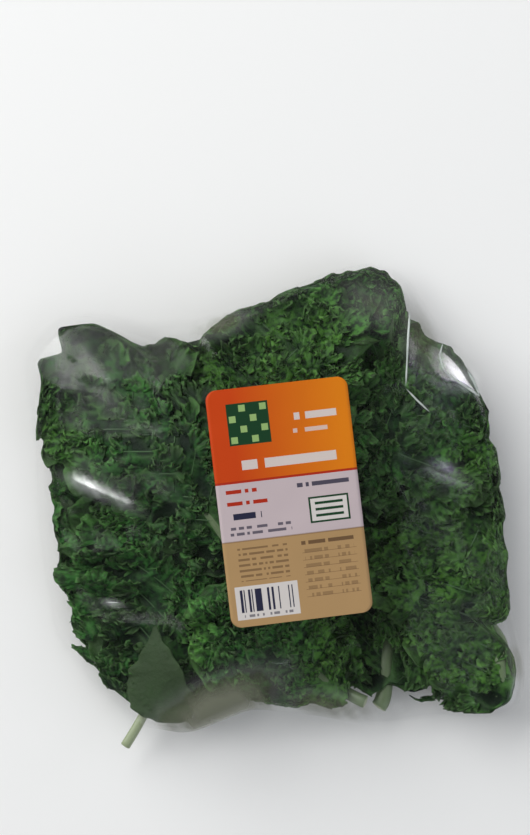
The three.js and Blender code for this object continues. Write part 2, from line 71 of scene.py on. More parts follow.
def linear(hex_colour: str) -> tuple[float, float, float, float]:
    """Turns an sRGB hex colour into the linear values that Blender's sockets take.

    Args:
        hex_colour: Six hex digits with a leading hash.

    Returns:
        Linear red, green and blue, and an alpha of 1.
    """
    parts = [int(hex_colour[i : i + 2], 16) / 255 for i in (1, 3, 5)]
    made = [p / 12.92 if p <= 0.04045 else ((p + 0.055) / 1.055) ** 2.4 for p in parts]
    return made[0], made[1], made[2], 1.0


def smooth_step(value: Array) -> Array:
    """Eases values from 0 to 1, flat outside that range."""
    t = np.clip(value, 0.0, 1.0)
    return t * t * (3 - 2 * t)


def draw(leaf: int, use: int) -> float:
    """Gives a number from 0 to 1 that is always the same for a leaf and a use."""
    value = math.sin(leaf * LEAF_STEP + use * USE_STEP) * SCATTER
    return value - math.floor(value)


def lattice_noise(x: Array, y: Array, seed: int) -> Array:
    """Smooth noise over a plane, with features one unit across.

    Args:
        x: First coordinate.
        y: Second coordinate, of the same shape.
        seed: Which of the endless noises to read.

    Returns:
        Values from -1 to 1.
    """
    table = np.random.default_rng(seed).uniform(-1, 1, (LATTICE, LATTICE))
    ix, iy = np.floor(x).astype(int), np.floor(y).astype(int)
    fx, fy = smooth_step(x - ix), smooth_step(y - iy)
    row, following = iy % LATTICE, (iy + 1) % LATTICE
    left, right = ix % LATTICE, (ix + 1) % LATTICE
    low = table[row, left] * (1 - fx) + table[row, right] * fx
    high = table[following, left] * (1 - fx) + table[following, right] * fx
    return low * (1 - fy) + high * fy


def grid_quads(rows: int, columns: int, offset: int = 0, flip: bool = False) -> Array:
    """Lists the faces of a grid of points, row by row.

    Args:
        rows: Points from first to last row.
        columns: Points in a row.
        offset: Number of the grid's first point.
        flip: Whether the faces look the other way.

    Returns:
        Four point numbers for each face.
    """
    r, c = np.meshgrid(np.arange(rows - 1), np.arange(columns - 1), indexing="ij")
    a = (r * columns + c).ravel() + offset
    quads = np.stack([a, a + columns, a + columns + 1, a + 1], axis=1)
    return quads[:, ::-1] if flip else quads


def rim_points(rows: int, columns: int) -> Array:
    """Lists a grid's outer points in order, once round."""
    grid = np.arange(rows * columns).reshape(rows, columns)
    return np.concatenate([grid[0, :-1], grid[:-1, -1], grid[-1, :0:-1], grid[:0:-1, 0]])


def grid_normals(points: Array) -> Array:
    """Unit normals of a grid of points, from its rows and columns.

    Args:
        points: The grid's points.

    Returns:
        One unit vector for each point.
    """
    along = np.gradient(points, axis=0)
    across = np.gradient(points, axis=1)
    normals = np.cross(along, across)
    return normals / np.maximum(np.linalg.norm(normals, axis=2, keepdims=True), TINIEST)


def closed_skin(grid: Array, thickness: float) -> tuple[Array, Array]:
    """Gives a grid of points its thickness as one closed skin.

    Args:
        grid: Points of the middle sheet, by row and column.
        thickness: How thick the skin is.

    Returns:
        The skin's points, its upper side first, and its faces.
    """
    rows, columns = grid.shape[:2]
    normals = grid_normals(grid)
    normals *= np.where(np.mean(normals[..., 2]) < 0, -1.0, 1.0)
    first = grid[:-1, :-1]
    up = np.mean(np.cross(grid[1:, :-1] - first, grid[:-1, 1:] - first)[..., 2]) > 0
    shift = 0.5 * thickness * normals
    flat = np.concatenate([(grid + side * shift).reshape(-1, 3) for side in (1, -1)])
    low = rows * columns
    rim = rim_points(rows, columns)
    after = np.roll(rim, -1)
    sides = np.stack([rim, after, after + low, rim + low], axis=1)
    quads = np.concatenate([grid_quads(rows, columns), grid_quads(rows, columns, low, True), sides])
    return flat, quads if up else quads[:, ::-1]


def write_mesh(
    name: str,
    points: Array,
    quads: Array,
    uv: Array | None = None,
    values: dict[str, Array] | None = None,
) -> Piece:
    """Makes a smooth-shaded mesh object at the origin.

    Args:
        name: Name of the object and its mesh.
        points: Points in millimetres, one row each.
        quads: Point numbers of the four-sided faces.
        uv: Two values for each point, for the mesh's UV map.
        values: More values for each point, each stored as an attribute.

    Returns:
        The new object, linked to the scene.
    """
    mesh = bpy.data.meshes.new(name)
    mesh.vertices.add(len(points))
    mesh.vertices.foreach_set("co", (points * MM).astype(np.float32).ravel())
    mesh.loops.add(quads.size)
    mesh.loops.foreach_set("vertex_index", quads.astype(np.int32).ravel())
    mesh.polygons.add(len(quads))
    sides = quads.shape[1]
    mesh.polygons.foreach_set("loop_start", np.arange(0, quads.size, sides, dtype=np.int32))
    mesh.update(calc_edges=True)
    mesh.polygons.foreach_set("use_smooth", np.ones(len(quads), dtype=bool))
    if uv is not None:
        layer = mesh.uv_layers.new(name="UVMap")
        layer.data.foreach_set("uv", uv[quads.ravel()].astype(np.float32).ravel())
    for key, numbers in (values or {}).items():
        layer = mesh.attributes.new(key, "FLOAT", "POINT")
        layer.data.foreach_set("value", numbers.astype(np.float32).ravel())
    mesh.validate()
    made = bpy.data.objects.new(name, mesh)
    bpy.context.scene.collection.objects.link(made)
    return made


def add_node(
    tree: Tree,
    kind: str,
    settings: dict[str, object] | None = None,
    inputs: dict[str | int, object] | None = None,
) -> Node:
    """Adds one node with its settings, values and links.

    Args:
        tree: The node tree that it goes into.
        kind: Blender's name for the node's type.
        settings: Properties of the node itself.
        inputs: For each input by name or number, a value or a socket to link from.

    Returns:
        The new node.
    """
    node = tree.nodes.new(kind)
    for key, value in (settings or {}).items():
        setattr(node, key, value)
    feed(tree, node, inputs or {})
    return node


def feed(tree: Tree, node: Node, inputs: dict[str | int, object]) -> None:
    """Gives a node's inputs their values and links.

    Args:
        tree: The node's tree.
        node: The node.
        inputs: What each input takes, as for add_node.
    """
    for key, value in inputs.items():
        if isinstance(value, Socket):
            tree.links.new(value, node.inputs[key])
        else:
            node.inputs[key].default_value = value


def reckon(tree: Tree, operation: str, *terms: object, clamp: bool = False) -> Socket:
    """Adds one sum of sockets and numbers, and gives its result."""
    settings = {"operation": operation, "use_clamp": clamp}
    return add_node(tree, "ShaderNodeMath", settings, dict(enumerate(terms))).outputs[0]


def remap(
    tree: Tree,
    value: Socket,
    old: tuple[float, float] = (0.0, 1.0),
    new: tuple[float, float] = (0.0, 1.0),
) -> Socket:
    """Moves values from one range to another, and holds them inside it."""
    ends = {"From Min": old[0], "From Max": old[1], "To Min": new[0], "To Max": new[1]}
    return add_node(tree, "ShaderNodeMapRange", inputs={"Value": value, **ends}).outputs["Result"]


def noise(tree: Tree, place: Socket, scale: float, detail: float) -> Socket:
    """Adds soft noise over a place."""
    inputs = {"Vector": place, "Scale": scale, "Detail": detail}
    return add_node(tree, "ShaderNodeTexNoise", inputs=inputs).outputs["Fac"]


def mixed(tree: Tree, amount: object, first: object, second: object) -> Socket:
    """Mixes two colours, each a hex value, a linear colour or a socket.

    Args:
        tree: The node tree.
        amount: Share of the second colour.
        first: The colour at 0.
        second: The colour at 1.

    Returns:
        The mixed colour's socket.
    """
    colours = [linear(colour) if isinstance(colour, str) else colour for colour in (first, second)]
    inputs = {0: amount, 6: colours[0], 7: colours[1]}
    return add_node(tree, "ShaderNodeMix", {"data_type": "RGBA"}, inputs).outputs[2]


def mark(tree: Tree, name: str) -> Socket:
    """Reads one of the mesh's own attributes."""
    return add_node(tree, "ShaderNodeAttribute", {"attribute_name": name}).outputs["Fac"]


def object_place(tree: Tree) -> Socket:
    """Reads the place on the object, in metres."""
    return add_node(tree, "ShaderNodeTexCoord").outputs["Object"]


def emboss(tree: Tree, shader: Node, height: object, strength: float, depth: float) -> None:
    """Gives a shader relief from a height, its depth in millimetres.

    Args:
        tree: The shader's node tree.
        shader: The shader.
        height: Socket of the height, from 0 to 1.
        strength: How much of the relief shows.
        depth: How deep the relief is.
    """
    inputs = {"Strength": strength, "Distance": depth * MM, "Height": height}
    relief = add_node(tree, "ShaderNodeBump", inputs=inputs)
    tree.links.new(relief.outputs["Normal"], shader.inputs["Normal"])


def swept_line_nodes() -> Tree:
    """Builds the geometry nodes that turn lines into tubes of varying radius.

    Returns:
        The node tree, with inputs for the tubes' sides, flatness and finish.
    """
    tree = bpy.data.node_groups.new("swept_lines", "GeometryNodeTree")
    sockets = {"Geometry": "Geometry", "Sides": "Int", "Flatness": "Float", "Finish": "Material"}
    for name, kind in sockets.items():
        tree.interface.new_socket(name, in_out="INPUT", socket_type=f"NodeSocket{kind}")
    tree.interface.new_socket("Geometry", in_out="OUTPUT", socket_type="NodeSocketGeometry")
    given = add_node(tree, "NodeGroupInput").outputs
    lines = add_node(tree, "GeometryNodeMeshToCurve", inputs={"Mesh": given["Geometry"]})
    stored = {"Name": "radius_mm"}
    radius = add_node(tree, "GeometryNodeInputNamedAttribute", {"data_type": "FLOAT"}, stored)
    scaled = reckon(tree, "MULTIPLY", radius.outputs["Attribute"], MM)
    round_ = {"Resolution": given["Sides"], "Radius": 1.0}
    ring = add_node(tree, "GeometryNodeCurvePrimitiveCircle", inputs=round_)
    squeeze = add_node(tree, "ShaderNodeCombineXYZ", inputs={"X": 1.0, "Y": given["Flatness"], "Z": 1.0})
    squeezed = {"Geometry": ring.outputs["Curve"], "Scale": squeeze.outputs[0]}
    oval = add_node(tree, "GeometryNodeTransform", inputs=squeezed)
    sweep = {
        "Curve": lines.outputs["Curve"],
        "Profile Curve": oval.outputs["Geometry"],
        "Scale": scaled,
        "Fill Caps": True,
    }
    tubes = add_node(tree, "GeometryNodeCurveToMesh", inputs=sweep)
    smooth = add_node(tree, "GeometryNodeSetShadeSmooth", inputs={"Geometry": tubes.outputs["Mesh"]})
    real = add_node(tree, "GeometryNodeRealizeInstances", inputs={"Geometry": smooth.outputs["Geometry"]})
    dressing = {"Geometry": real.outputs["Geometry"], "Material": given["Finish"]}
    dressed = add_node(tree, "GeometryNodeSetMaterial", inputs=dressing)
    add_node(tree, "NodeGroupOutput", inputs={"Geometry": dressed.outputs["Geometry"]})
    return tree


def run_nodes(carrier: Piece, tree: Tree, values: dict[str, object]) -> None:
    """Runs geometry nodes on an object and keeps the result as its plain mesh.

    Args:
        carrier: The object that carries the starting geometry.
        tree: The geometry node tree.
        values: Values for the tree's inputs, by name.
    """
    modifier = carrier.modifiers.new("nodes", "NODES")
    modifier.node_group = tree
    for item in tree.interface.items_tree:
        if item.item_type == "SOCKET" and item.in_out == "INPUT" and item.name in values:
            modifier[item.identifier] = values[item.name]
    depsgraph = bpy.context.evaluated_depsgraph_get()
    mesh = bpy.data.meshes.new_from_object(
        carrier.evaluated_get(depsgraph), preserve_all_data_layers=True, depsgraph=depsgraph
    )
    carrier.modifiers.clear()
    old = carrier.data
    mesh.name = carrier.name
    carrier.data = mesh
    bpy.data.meshes.remove(old)


def swept_lines(
    name: str,
    points: Array,
    edges: list[tuple[int, int]],
    radii: Array,
    sides: int,
    material: Finish,
    flatness: float = 1.0,
) -> Piece:
    """Builds tubes along lines.

    Args:
        name: Name of the new object.
        points: The lines' points in millimetres.
        edges: Pairs of point numbers.
        radii: The tube's radius at each point, in millimetres.
        sides: Faces round each tube.
        material: The tubes' finish.
        flatness: Height of the tube as a share of its width.

    Returns:
        The new object with a plain mesh.
    """
    mesh = bpy.data.meshes.new(name)
    mesh.from_pydata((points * MM).tolist(), edges, [])
    layer = mesh.attributes.new("radius_mm", "FLOAT", "POINT")
    layer.data.foreach_set("value", radii.astype(np.float32))
    made = bpy.data.objects.new(name, mesh)
    bpy.context.scene.collection.objects.link(made)
    tree = bpy.data.node_groups.get("swept_lines") or swept_line_nodes()
    run_nodes(made, tree, {"Sides": sides, "Flatness": flatness, "Finish": material})
    return made


# --- The bag's plan, and heights over it ---


@dataclass(frozen=True)
class BagSizes:
    """Sizes of the filled bag, as the solids have them.

    The mouth lies between two headings in degrees, where its lips rise and drop. slope
    is the steepest fall of the film, edge_power how late it turns down at the side,
    and clear the gap that it keeps.
    """

    side_height: float = 17.0
    side_band: float = 4.0
    flat_share: float = 0.55
    mouth_from: float = 205.0
    mouth_to: float = 318.0
    lip_rise: float = 11.0
    lip_drop: float = 7.0
    film: float = 0.7
    slope: float = 0.45
    edge_power: float = 30.0
    clear: float = 0.6
    outline: tuple[tuple[float, float], ...] = (
        (100, 30), (94, 52), (80, 70), (70, 91), (56, 100), (30, 97), (4, 88), (-24, 84),
        (-45, 84), (-64, 92), (-84, 91), (-99, 76), (-98, 40), (-101, 0), (-99, -44),
        (-86, -66), (-68, -86), (-46, -92), (-18, -84), (8, -90), (36, -99), (62, -98),
        (94, -102), (101, -84), (98, -54), (101, -20),
    )  # fmt: skip


class BagPlan:
    """The bag seen from above: its outline and the heights of its edges."""

    STEPS = 720
    HALF_WINDOW = 6
    # Width of the zone at the edge where points are drawn in, as a share of the way.
    SOFT = 0.14

    def __init__(self, sizes: BagSizes) -> None:
        """Rounds the outline's corners.

        Args:
            sizes: Sizes of the filled bag.
        """
        self.sizes = sizes
        points = np.array(sizes.outline, float)
        points -= (points.max(0) + points.min(0)) / 2
        angles = np.arange(self.STEPS) / self.STEPS * 2 * math.pi
        sharp = np.array([self._outline_distance(points, a) for a in angles])
        window = range(-self.HALF_WINDOW, self.HALF_WINDOW + 1)
        self.radii = sum(np.roll(sharp, -k) for k in window) / len(window)

    @staticmethod
    def _outline_distance(points: Array, angle: float) -> float:
        """Distance from the middle to the straight-sided outline, one way.

        Args:
            points: The outline's corners.
            angle: The way, in radians.

        Returns:
            The distance to the outline's furthest crossing.
        """
        dx, dy = math.cos(angle), math.sin(angle)
        found = 0.0
        for (ax, ay), (bx, by) in zip(points, np.roll(points, -1, axis=0)):
            across = dx * (by - ay) - dy * (bx - ax)
            if abs(across) < TINIEST:
                continue
            along = (ax * (by - ay) - ay * (bx - ax)) / across
            share = (ax * dy - ay * dx) / across
            if along > found and 0 <= share <= 1:
                found = along
        return found

    def radius(self, angle: Array) -> Array:
        """Distance from the middle to the rounded outline.

        Args:
            angle: The ways, in radians.

        Returns:
            One distance for each way.
        """
        at = (angle / (2 * math.pi)) % 1.0 * self.STEPS
        low = np.floor(at).astype(int)
        part = at - low
        return self.radii[low % self.STEPS] * (1 - part) + self.radii[(low + 1) % self.STEPS] * part

    def share(self, x: Array, y: Array) -> Array:
        """Share of the way from the middle of the bag to its edge."""
        return np.hypot(x, y) / self.radius(np.arctan2(y, x))

    def squeezed(self, x: Array, y: Array, reach: float) -> tuple[Array, Array]:
        """Moves points in from the edge, so that none lies past reach.

        Args:
            x: Plan X.
            y: Plan Y.
            reach: Share of the outline that they may fill.

        Returns:
            The new X and Y.
        """
        soft = self.SOFT
        share = np.maximum(self.share(x, y), TINY)
        free = reach - soft
        kept = np.where(share <= free, share, free + soft * np.tanh((share - free) / soft))
        return x * kept / share, y * kept / share

    def mouth(self, angle: Array) -> Array:
        """How far the mouth is open in a direction, from 0 to 1.

        Args:
            angle: The directions, in radians.

        Returns:
            1 in the middle of the mouth and 0 outside it.
        """
        degrees = np.degrees(angle) % 360
        along = (degrees - self.sizes.mouth_from) / (self.sizes.mouth_to - self.sizes.mouth_from)
        return np.where((along <= 0) | (along >= 1), 0.0, np.sin(math.pi * np.clip(along, 0, 1)) ** 2)

    def back_height(self, x: Array, y: Array) -> Array:
        """Height of the film under the bunch.

        Args:
            x: Plan X.
            y: Plan Y.

        Returns:
            One height for each place.
        """
        s = self.sizes
        share = np.minimum(1, self.share(x, y))
        edge = s.side_height - s.side_band / 2 - s.lip_drop * self.mouth(np.arctan2(y, x))
        t = np.maximum(0, (share - s.flat_share) / (1 - s.flat_share))
        return edge * (1 - np.sqrt(np.maximum(0, 1 - t * t)))

    def front_edge(self, angle: Array) -> Array:
        """Height of the front film's edge in a direction."""
        s = self.sizes
        return s.side_height + s.side_band / 2 + s.lip_rise * self.mouth(angle)

    def edge_fall(self, share: Array) -> Array:
        """How the front film turns down at the side, from 1 to 0 at the edge."""
        return np.sqrt(np.maximum(0, 1 - np.minimum(1, share) ** self.sizes.edge_power))


class Heights:
    """Heights over a square grid of plan cells."""

    CELL = 4.0
    COUNT = 58
    EDGE = -CELL * (COUNT - 1) / 2

    @classmethod
    def places(cls) -> tuple[Array, Array]:
        """X and Y of every cell, as two grids."""
        line = cls.EDGE + np.arange(cls.COUNT) * cls.CELL
        return tuple(np.meshgrid(line, line))

    @classmethod
    def read(cls, grid: Array, x: Array, y: Array) -> Array:
        """Height at any place, between its four nearest cells.

        Args:
            grid: The heights.
            x: Plan X.
            y: Plan Y.

        Returns:
            One height for each place.
        """
        fx = np.clip((x - cls.EDGE) / cls.CELL, 0, cls.COUNT - 1.001)
        fy = np.clip((y - cls.EDGE) / cls.CELL, 0, cls.COUNT - 1.001)
        i, j = np.floor(fx).astype(int), np.floor(fy).astype(int)
        a, b = fx - i, fy - j
        low = grid[j, i] * (1 - a) + grid[j, i + 1] * a
        high = grid[j + 1, i] * (1 - a) + grid[j + 1, i + 1] * a
        return low * (1 - b) + high * b

    @staticmethod
    def windowed(grid: Array, radius: int, mean: bool) -> Array:
        """The highest height within a square of cells, or their mean."""
        for axis in (1, 0):
            pad = [(radius, radius) if k == axis else (0, 0) for k in (0, 1)]
            wide = np.pad(grid, pad, mode="edge")
            size = grid.shape[axis]
            layers = [np.take(wide, range(k, k + size), axis=axis) for k in range(2 * radius + 1)]
            grid = np.mean(layers, axis=0) if mean else np.max(layers, axis=0)
        return grid

    @classmethod
    def draped(cls, grid: Array, slope: float, widened: int) -> Array:
        """The lowest smooth surface over a grid that falls no faster than slope.

        Args:
            grid: The heights to cover.
            slope: Steepest fall.
            widened: How many cells each height spreads first.

        Returns:
            The surface's heights, nowhere under the grid.
        """
        out = cls.windowed(grid, widened, False)
        steps = ((-1, 0, 1.0), (0, -1, 1.0), (-1, -1, math.sqrt(2)), (1, -1, math.sqrt(2)))
        last = cls.COUNT - 1
        for way in (1, -1):
            order = range(cls.COUNT)[::way]
            for j in order:
                for i in order:
                    best = out[j, i]
                    for di, dj, far in steps:
                        ni, nj = i + way * di, j + way * dj
                        if 0 <= ni <= last and 0 <= nj <= last:
                            best = max(best, out[nj, ni] - slope * cls.CELL * far)
                    out[j, i] = best
        return cls.windowed(cls.windowed(out, 1, True), 1, True)

    @classmethod
    def refined(cls, grid: Array, x: Array, y: Array) -> Array:
        """Height with the corners between cells rounded off.

        Args:
            grid: The heights.
            x: Plan X.
            y: Plan Y.

        Returns:
            One height for each place.
        """
        total = np.zeros_like(x)
        offsets = (-1.5, -0.5, 0.5, 1.5)
        for dx in offsets:
            for dy in offsets:
                total += cls.read(grid, x + dx, y + dy)
        return total / len(offsets) ** 2


# --- One leaf ---


@dataclass(frozen=True)
class Fineness:
    """How finely a leaf is made: the blade's grid, lobes in a row, and a lobe's grid."""

    rows: int
    columns: int
    lobes: int
    lobe_rows: int
    lobe_columns: int


class Place(Enum):
    """Where a leaf lies in the bunch, which sets how finely it is made."""

    TOP = Fineness(76, 36, 12, 6, 35)
    HIDDEN = Fineness(56, 28, 8, 5, 22)


@dataclass(frozen=True)
class Leaf:
    """One kale leaf: its place in the bag and the sizes that shape it.

    It sets out from cut at heading and turns by bend, in degrees. base is the half
    width where the blade starts, taper the tip's sharpness, radius the stem's at its
    cut end, frill the large waves' height, and reach the share of the bag that it may
    fill. A leaf that shows its back has its stem on top.
    """

    number: int
    cut: tuple[float, float]
    heading: float
    bend: float
    stem: float
    blade: float
    width: float
    base: float
    taper: float
    radius: float
    frill: float
    reach: float
    back: bool
    place: Place

    # The large waves' length, and how far they scallop the outline.
    WAVE_LENGTH, SCALLOP = 27.0, 0.1
    # Half width at the tip, the outline's scale, and thickness of the solid blade.
    TIP, FULLEST, SOLID = 1.5, 0.84, 0.8
    # The stem's gap to the blade, its radius at the tip, and its share of the length.
    STEM_GAP, TIP_RADIUS, STEM_REACH = 0.75, 0.9, 0.86
    # How the outline widens from the start and rounds off at the tip, as powers.
    WIDENING, ROUNDING = 0.45, 3.4
    # How the waves drift along the margin: radians, times over, and towards the edge.
    DRIFT, DRIFT_TURNS, DRIFT_OUT = 0.35, 1.7, 1.3
    # The waves are lower near the bag's edge, and grow from the blade's start.
    EDGE_SQUEEZE, SQUEEZED_FROM, GROWN_AT = 0.45, 0.6, 0.18
    # How far the margins point forward, as a share of the half width.
    FORWARD = 0.16

    @property
    def name(self) -> str:
        """The start of the leaf's node names."""
        return f"leaf_{self.number + 1:02d}"

    @property
    def lively(self) -> float:
        """How strongly the leaf is curled, none for the smooth one."""
        return 1.0 if self.frill > 1 else 0.0

    @property
    def tone(self) -> float:
        """How much paler than the others the leaf is, in millimetres of crest height."""
        return 1.8 * (draw(self.number, 7) - 0.5)

    @property
    def fill(self) -> float:
        """Share of the bunch's outline that the leaf may fill."""
        return 1.0 if self.reach > 0.95 else 0.97

    @property
    def smooth_to(self) -> float:
        """Share of the blade, from its start, that bears no lobes."""
        return 0.1 if self.base > 15 else 0.0

    def middle_line(self, s: Array) -> tuple[Array, Array, Array]:
        """Plan place and direction of the leaf's middle line.

        Args:
            s: Distance along it from the cut end.

        Returns:
            X, Y and the direction in radians.
        """
        start = math.radians(self.heading)
        turn = math.radians(self.bend) / (self.stem + self.blade)
        angle = start + turn * s
        if abs(turn) < TINIEST:
            return self.cut[0] + s * math.cos(start), self.cut[1] + s * math.sin(start), angle
        x = self.cut[0] + (np.sin(angle) - math.sin(start)) / turn
        y = self.cut[1] - (np.cos(angle) - math.cos(start)) / turn
        return x, y, angle

    def half_width(self, t: Array) -> Array:
        """Half width of the blade, from its start at 0 to its tip at 1.

        Args:
            t: Shares of the blade's length.

        Returns:
            One half width for each share.
        """
        t = np.clip(t, 0, 1)
        spread = self.base + (self.width / 2 - self.base) * (t**self.WIDENING / self.FULLEST)
        return self.TIP + (spread - self.TIP) * (1 - t**self.ROUNDING) ** self.taper

    def frill_phase(self, t: Array, u: Array) -> Array:
        """Phase of the large waves at a place on the blade.

        Args:
            t: Share of the blade's length.
            u: Share of the half width, from -1 to 1.

        Returns:
            The phase in radians.
        """
        waves = max(3, math.floor(self.blade / self.WAVE_LENGTH + 0.5))
        left = u >= 0
        shift = np.where(left, draw(self.number, 1), draw(self.number, 0))
        drift_shift = np.where(left, draw(self.number, 5), draw(self.number, 4))
        drift = self.DRIFT * np.sin(2 * math.pi * (t * self.DRIFT_TURNS + drift_shift))
        return 2 * math.pi * (waves * t + shift + drift) - self.DRIFT_OUT * np.abs(u)

    def frill_height(self, plan: BagPlan, t: Array, u: Array, x: Array, y: Array) -> Array:
        """Height that the large waves may reach at a place on the blade.

        Args:
            plan: Plan of the bag, whose edge squeezes them.
            t: Share along the blade.
            u: Place across it, -1 to 1.
            x: Plan place.
            y: Plan place.

        Returns:
            Largest height above or below the sheet.
        """
        outer = (plan.share(x, y) - self.SQUEEZED_FROM) / (1 - self.SQUEEZED_FROM)
        squeeze = 1 - self.EDGE_SQUEEZE * smooth_step(outer)
        return self.frill * squeeze * smooth_step(t / self.GROWN_AT) * np.abs(u) ** 1.5

    def stem_radius(self, s: Array) -> Array:
        """Radius of the stem and midrib along the leaf."""
        t = np.minimum(1, s / ((self.stem + self.blade) * self.STEM_REACH))
        return self.TIP_RADIUS + (self.radius - self.TIP_RADIUS) * (1 - t) ** 0.8

    def blade_plan(self, plan: BagPlan, t: Array, u: Array) -> tuple[Array, Array]:
        """Plan place of a point of the blade, u from -1 to 1 across it.

        Args:
            plan: The bag's plan.
            t: Share of the blade's length.
            u: Share of the half width.

        Returns:
            X and Y of each point.
        """
        x0, y0, angle = self.middle_line(self.stem + self.blade * t)
        half = self.half_width(t)
        lobes = 1 + self.SCALLOP * np.cos(self.frill_phase(t, u)) * np.abs(u)
        out = half * u * lobes
        forward = self.FORWARD * half * u * u
        x = x0 - np.sin(angle) * out + np.cos(angle) * forward
        y = y0 + np.cos(angle) * out + np.sin(angle) * forward
        return plan.squeezed(x, y, self.reach)

    def sticks_out(self, plan: BagPlan) -> bool:
        """Whether the leaf's cut end lies outside the bag."""
        return bool(plan.share(*np.array(self.cut, float)) > 1)

    def stem_plan(self, plan: BagPlan, s: Array) -> tuple[Array, Array]:
        """Plan place of the stem's middle.

        Args:
            plan: The bag's plan.
            s: Distance from the cut end.

        Returns:
            X and Y of each point.
        """
        x0, y0, _ = self.middle_line(s)
        x, y = plan.squeezed(x0, y0, self.reach)
        outside = np.zeros_like(s)
        if self.sticks_out(plan):
            outside = 1 - smooth_step(s / (self.stem + 14))
        return x + (x0 - x) * outside, y + (y0 - y) * outside

    def envelope(self, plan: BagPlan) -> tuple[Array, Array]:
        """How far the leaf stands above and below its middle sheet, by cell.

        Args:
            plan: The bag's plan.

        Returns:
            Two grids of heights, minus infinity where the leaf isn't.
        """
        above = np.full((Heights.COUNT, Heights.COUNT), -np.inf)
        below = above.copy()
        step = 2.0
        columns = math.ceil(self.width / step)
        s, c = np.meshgrid(np.arange(0, self.blade + TINY, step), np.arange(columns + 1), indexing="ij")
        t, u = s / self.blade, 2 * c / columns - 1
        x, y = self.blade_plan(plan, t, u)
        high = self.SOLID / 2 + self.frill_height(plan, t, u, x, y)
        parts = [(x, y, high, high)]
        s = np.arange(0, (self.stem + self.blade) * self.STEM_REACH + TINY, step)
        x, y = self.stem_plan(plan, s)
        radius = self.stem_radius(s)
        rod = self.SOLID / 2 + self.STEM_GAP + 2 * radius
        none = np.zeros_like(rod)
        over, under = (rod, none) if self.back else (none, rod)
        steps = (-1, 0, 1)
        parts += [(x + i * radius, y + j * radius, over, under) for i in steps for j in steps]
        for x, y, up, down in parts:
            i = np.floor((x - Heights.EDGE) / Heights.CELL + 0.5).astype(int)
            j = np.floor((y - Heights.EDGE) / Heights.CELL + 0.5).astype(int)
            inside = (i >= 0) & (j >= 0) & (i < Heights.COUNT) & (j < Heights.COUNT)
            cells = j[inside], i[inside]
            np.maximum.at(above, cells, up[inside])
            np.maximum.at(below, cells, down[inside])
        return above, below


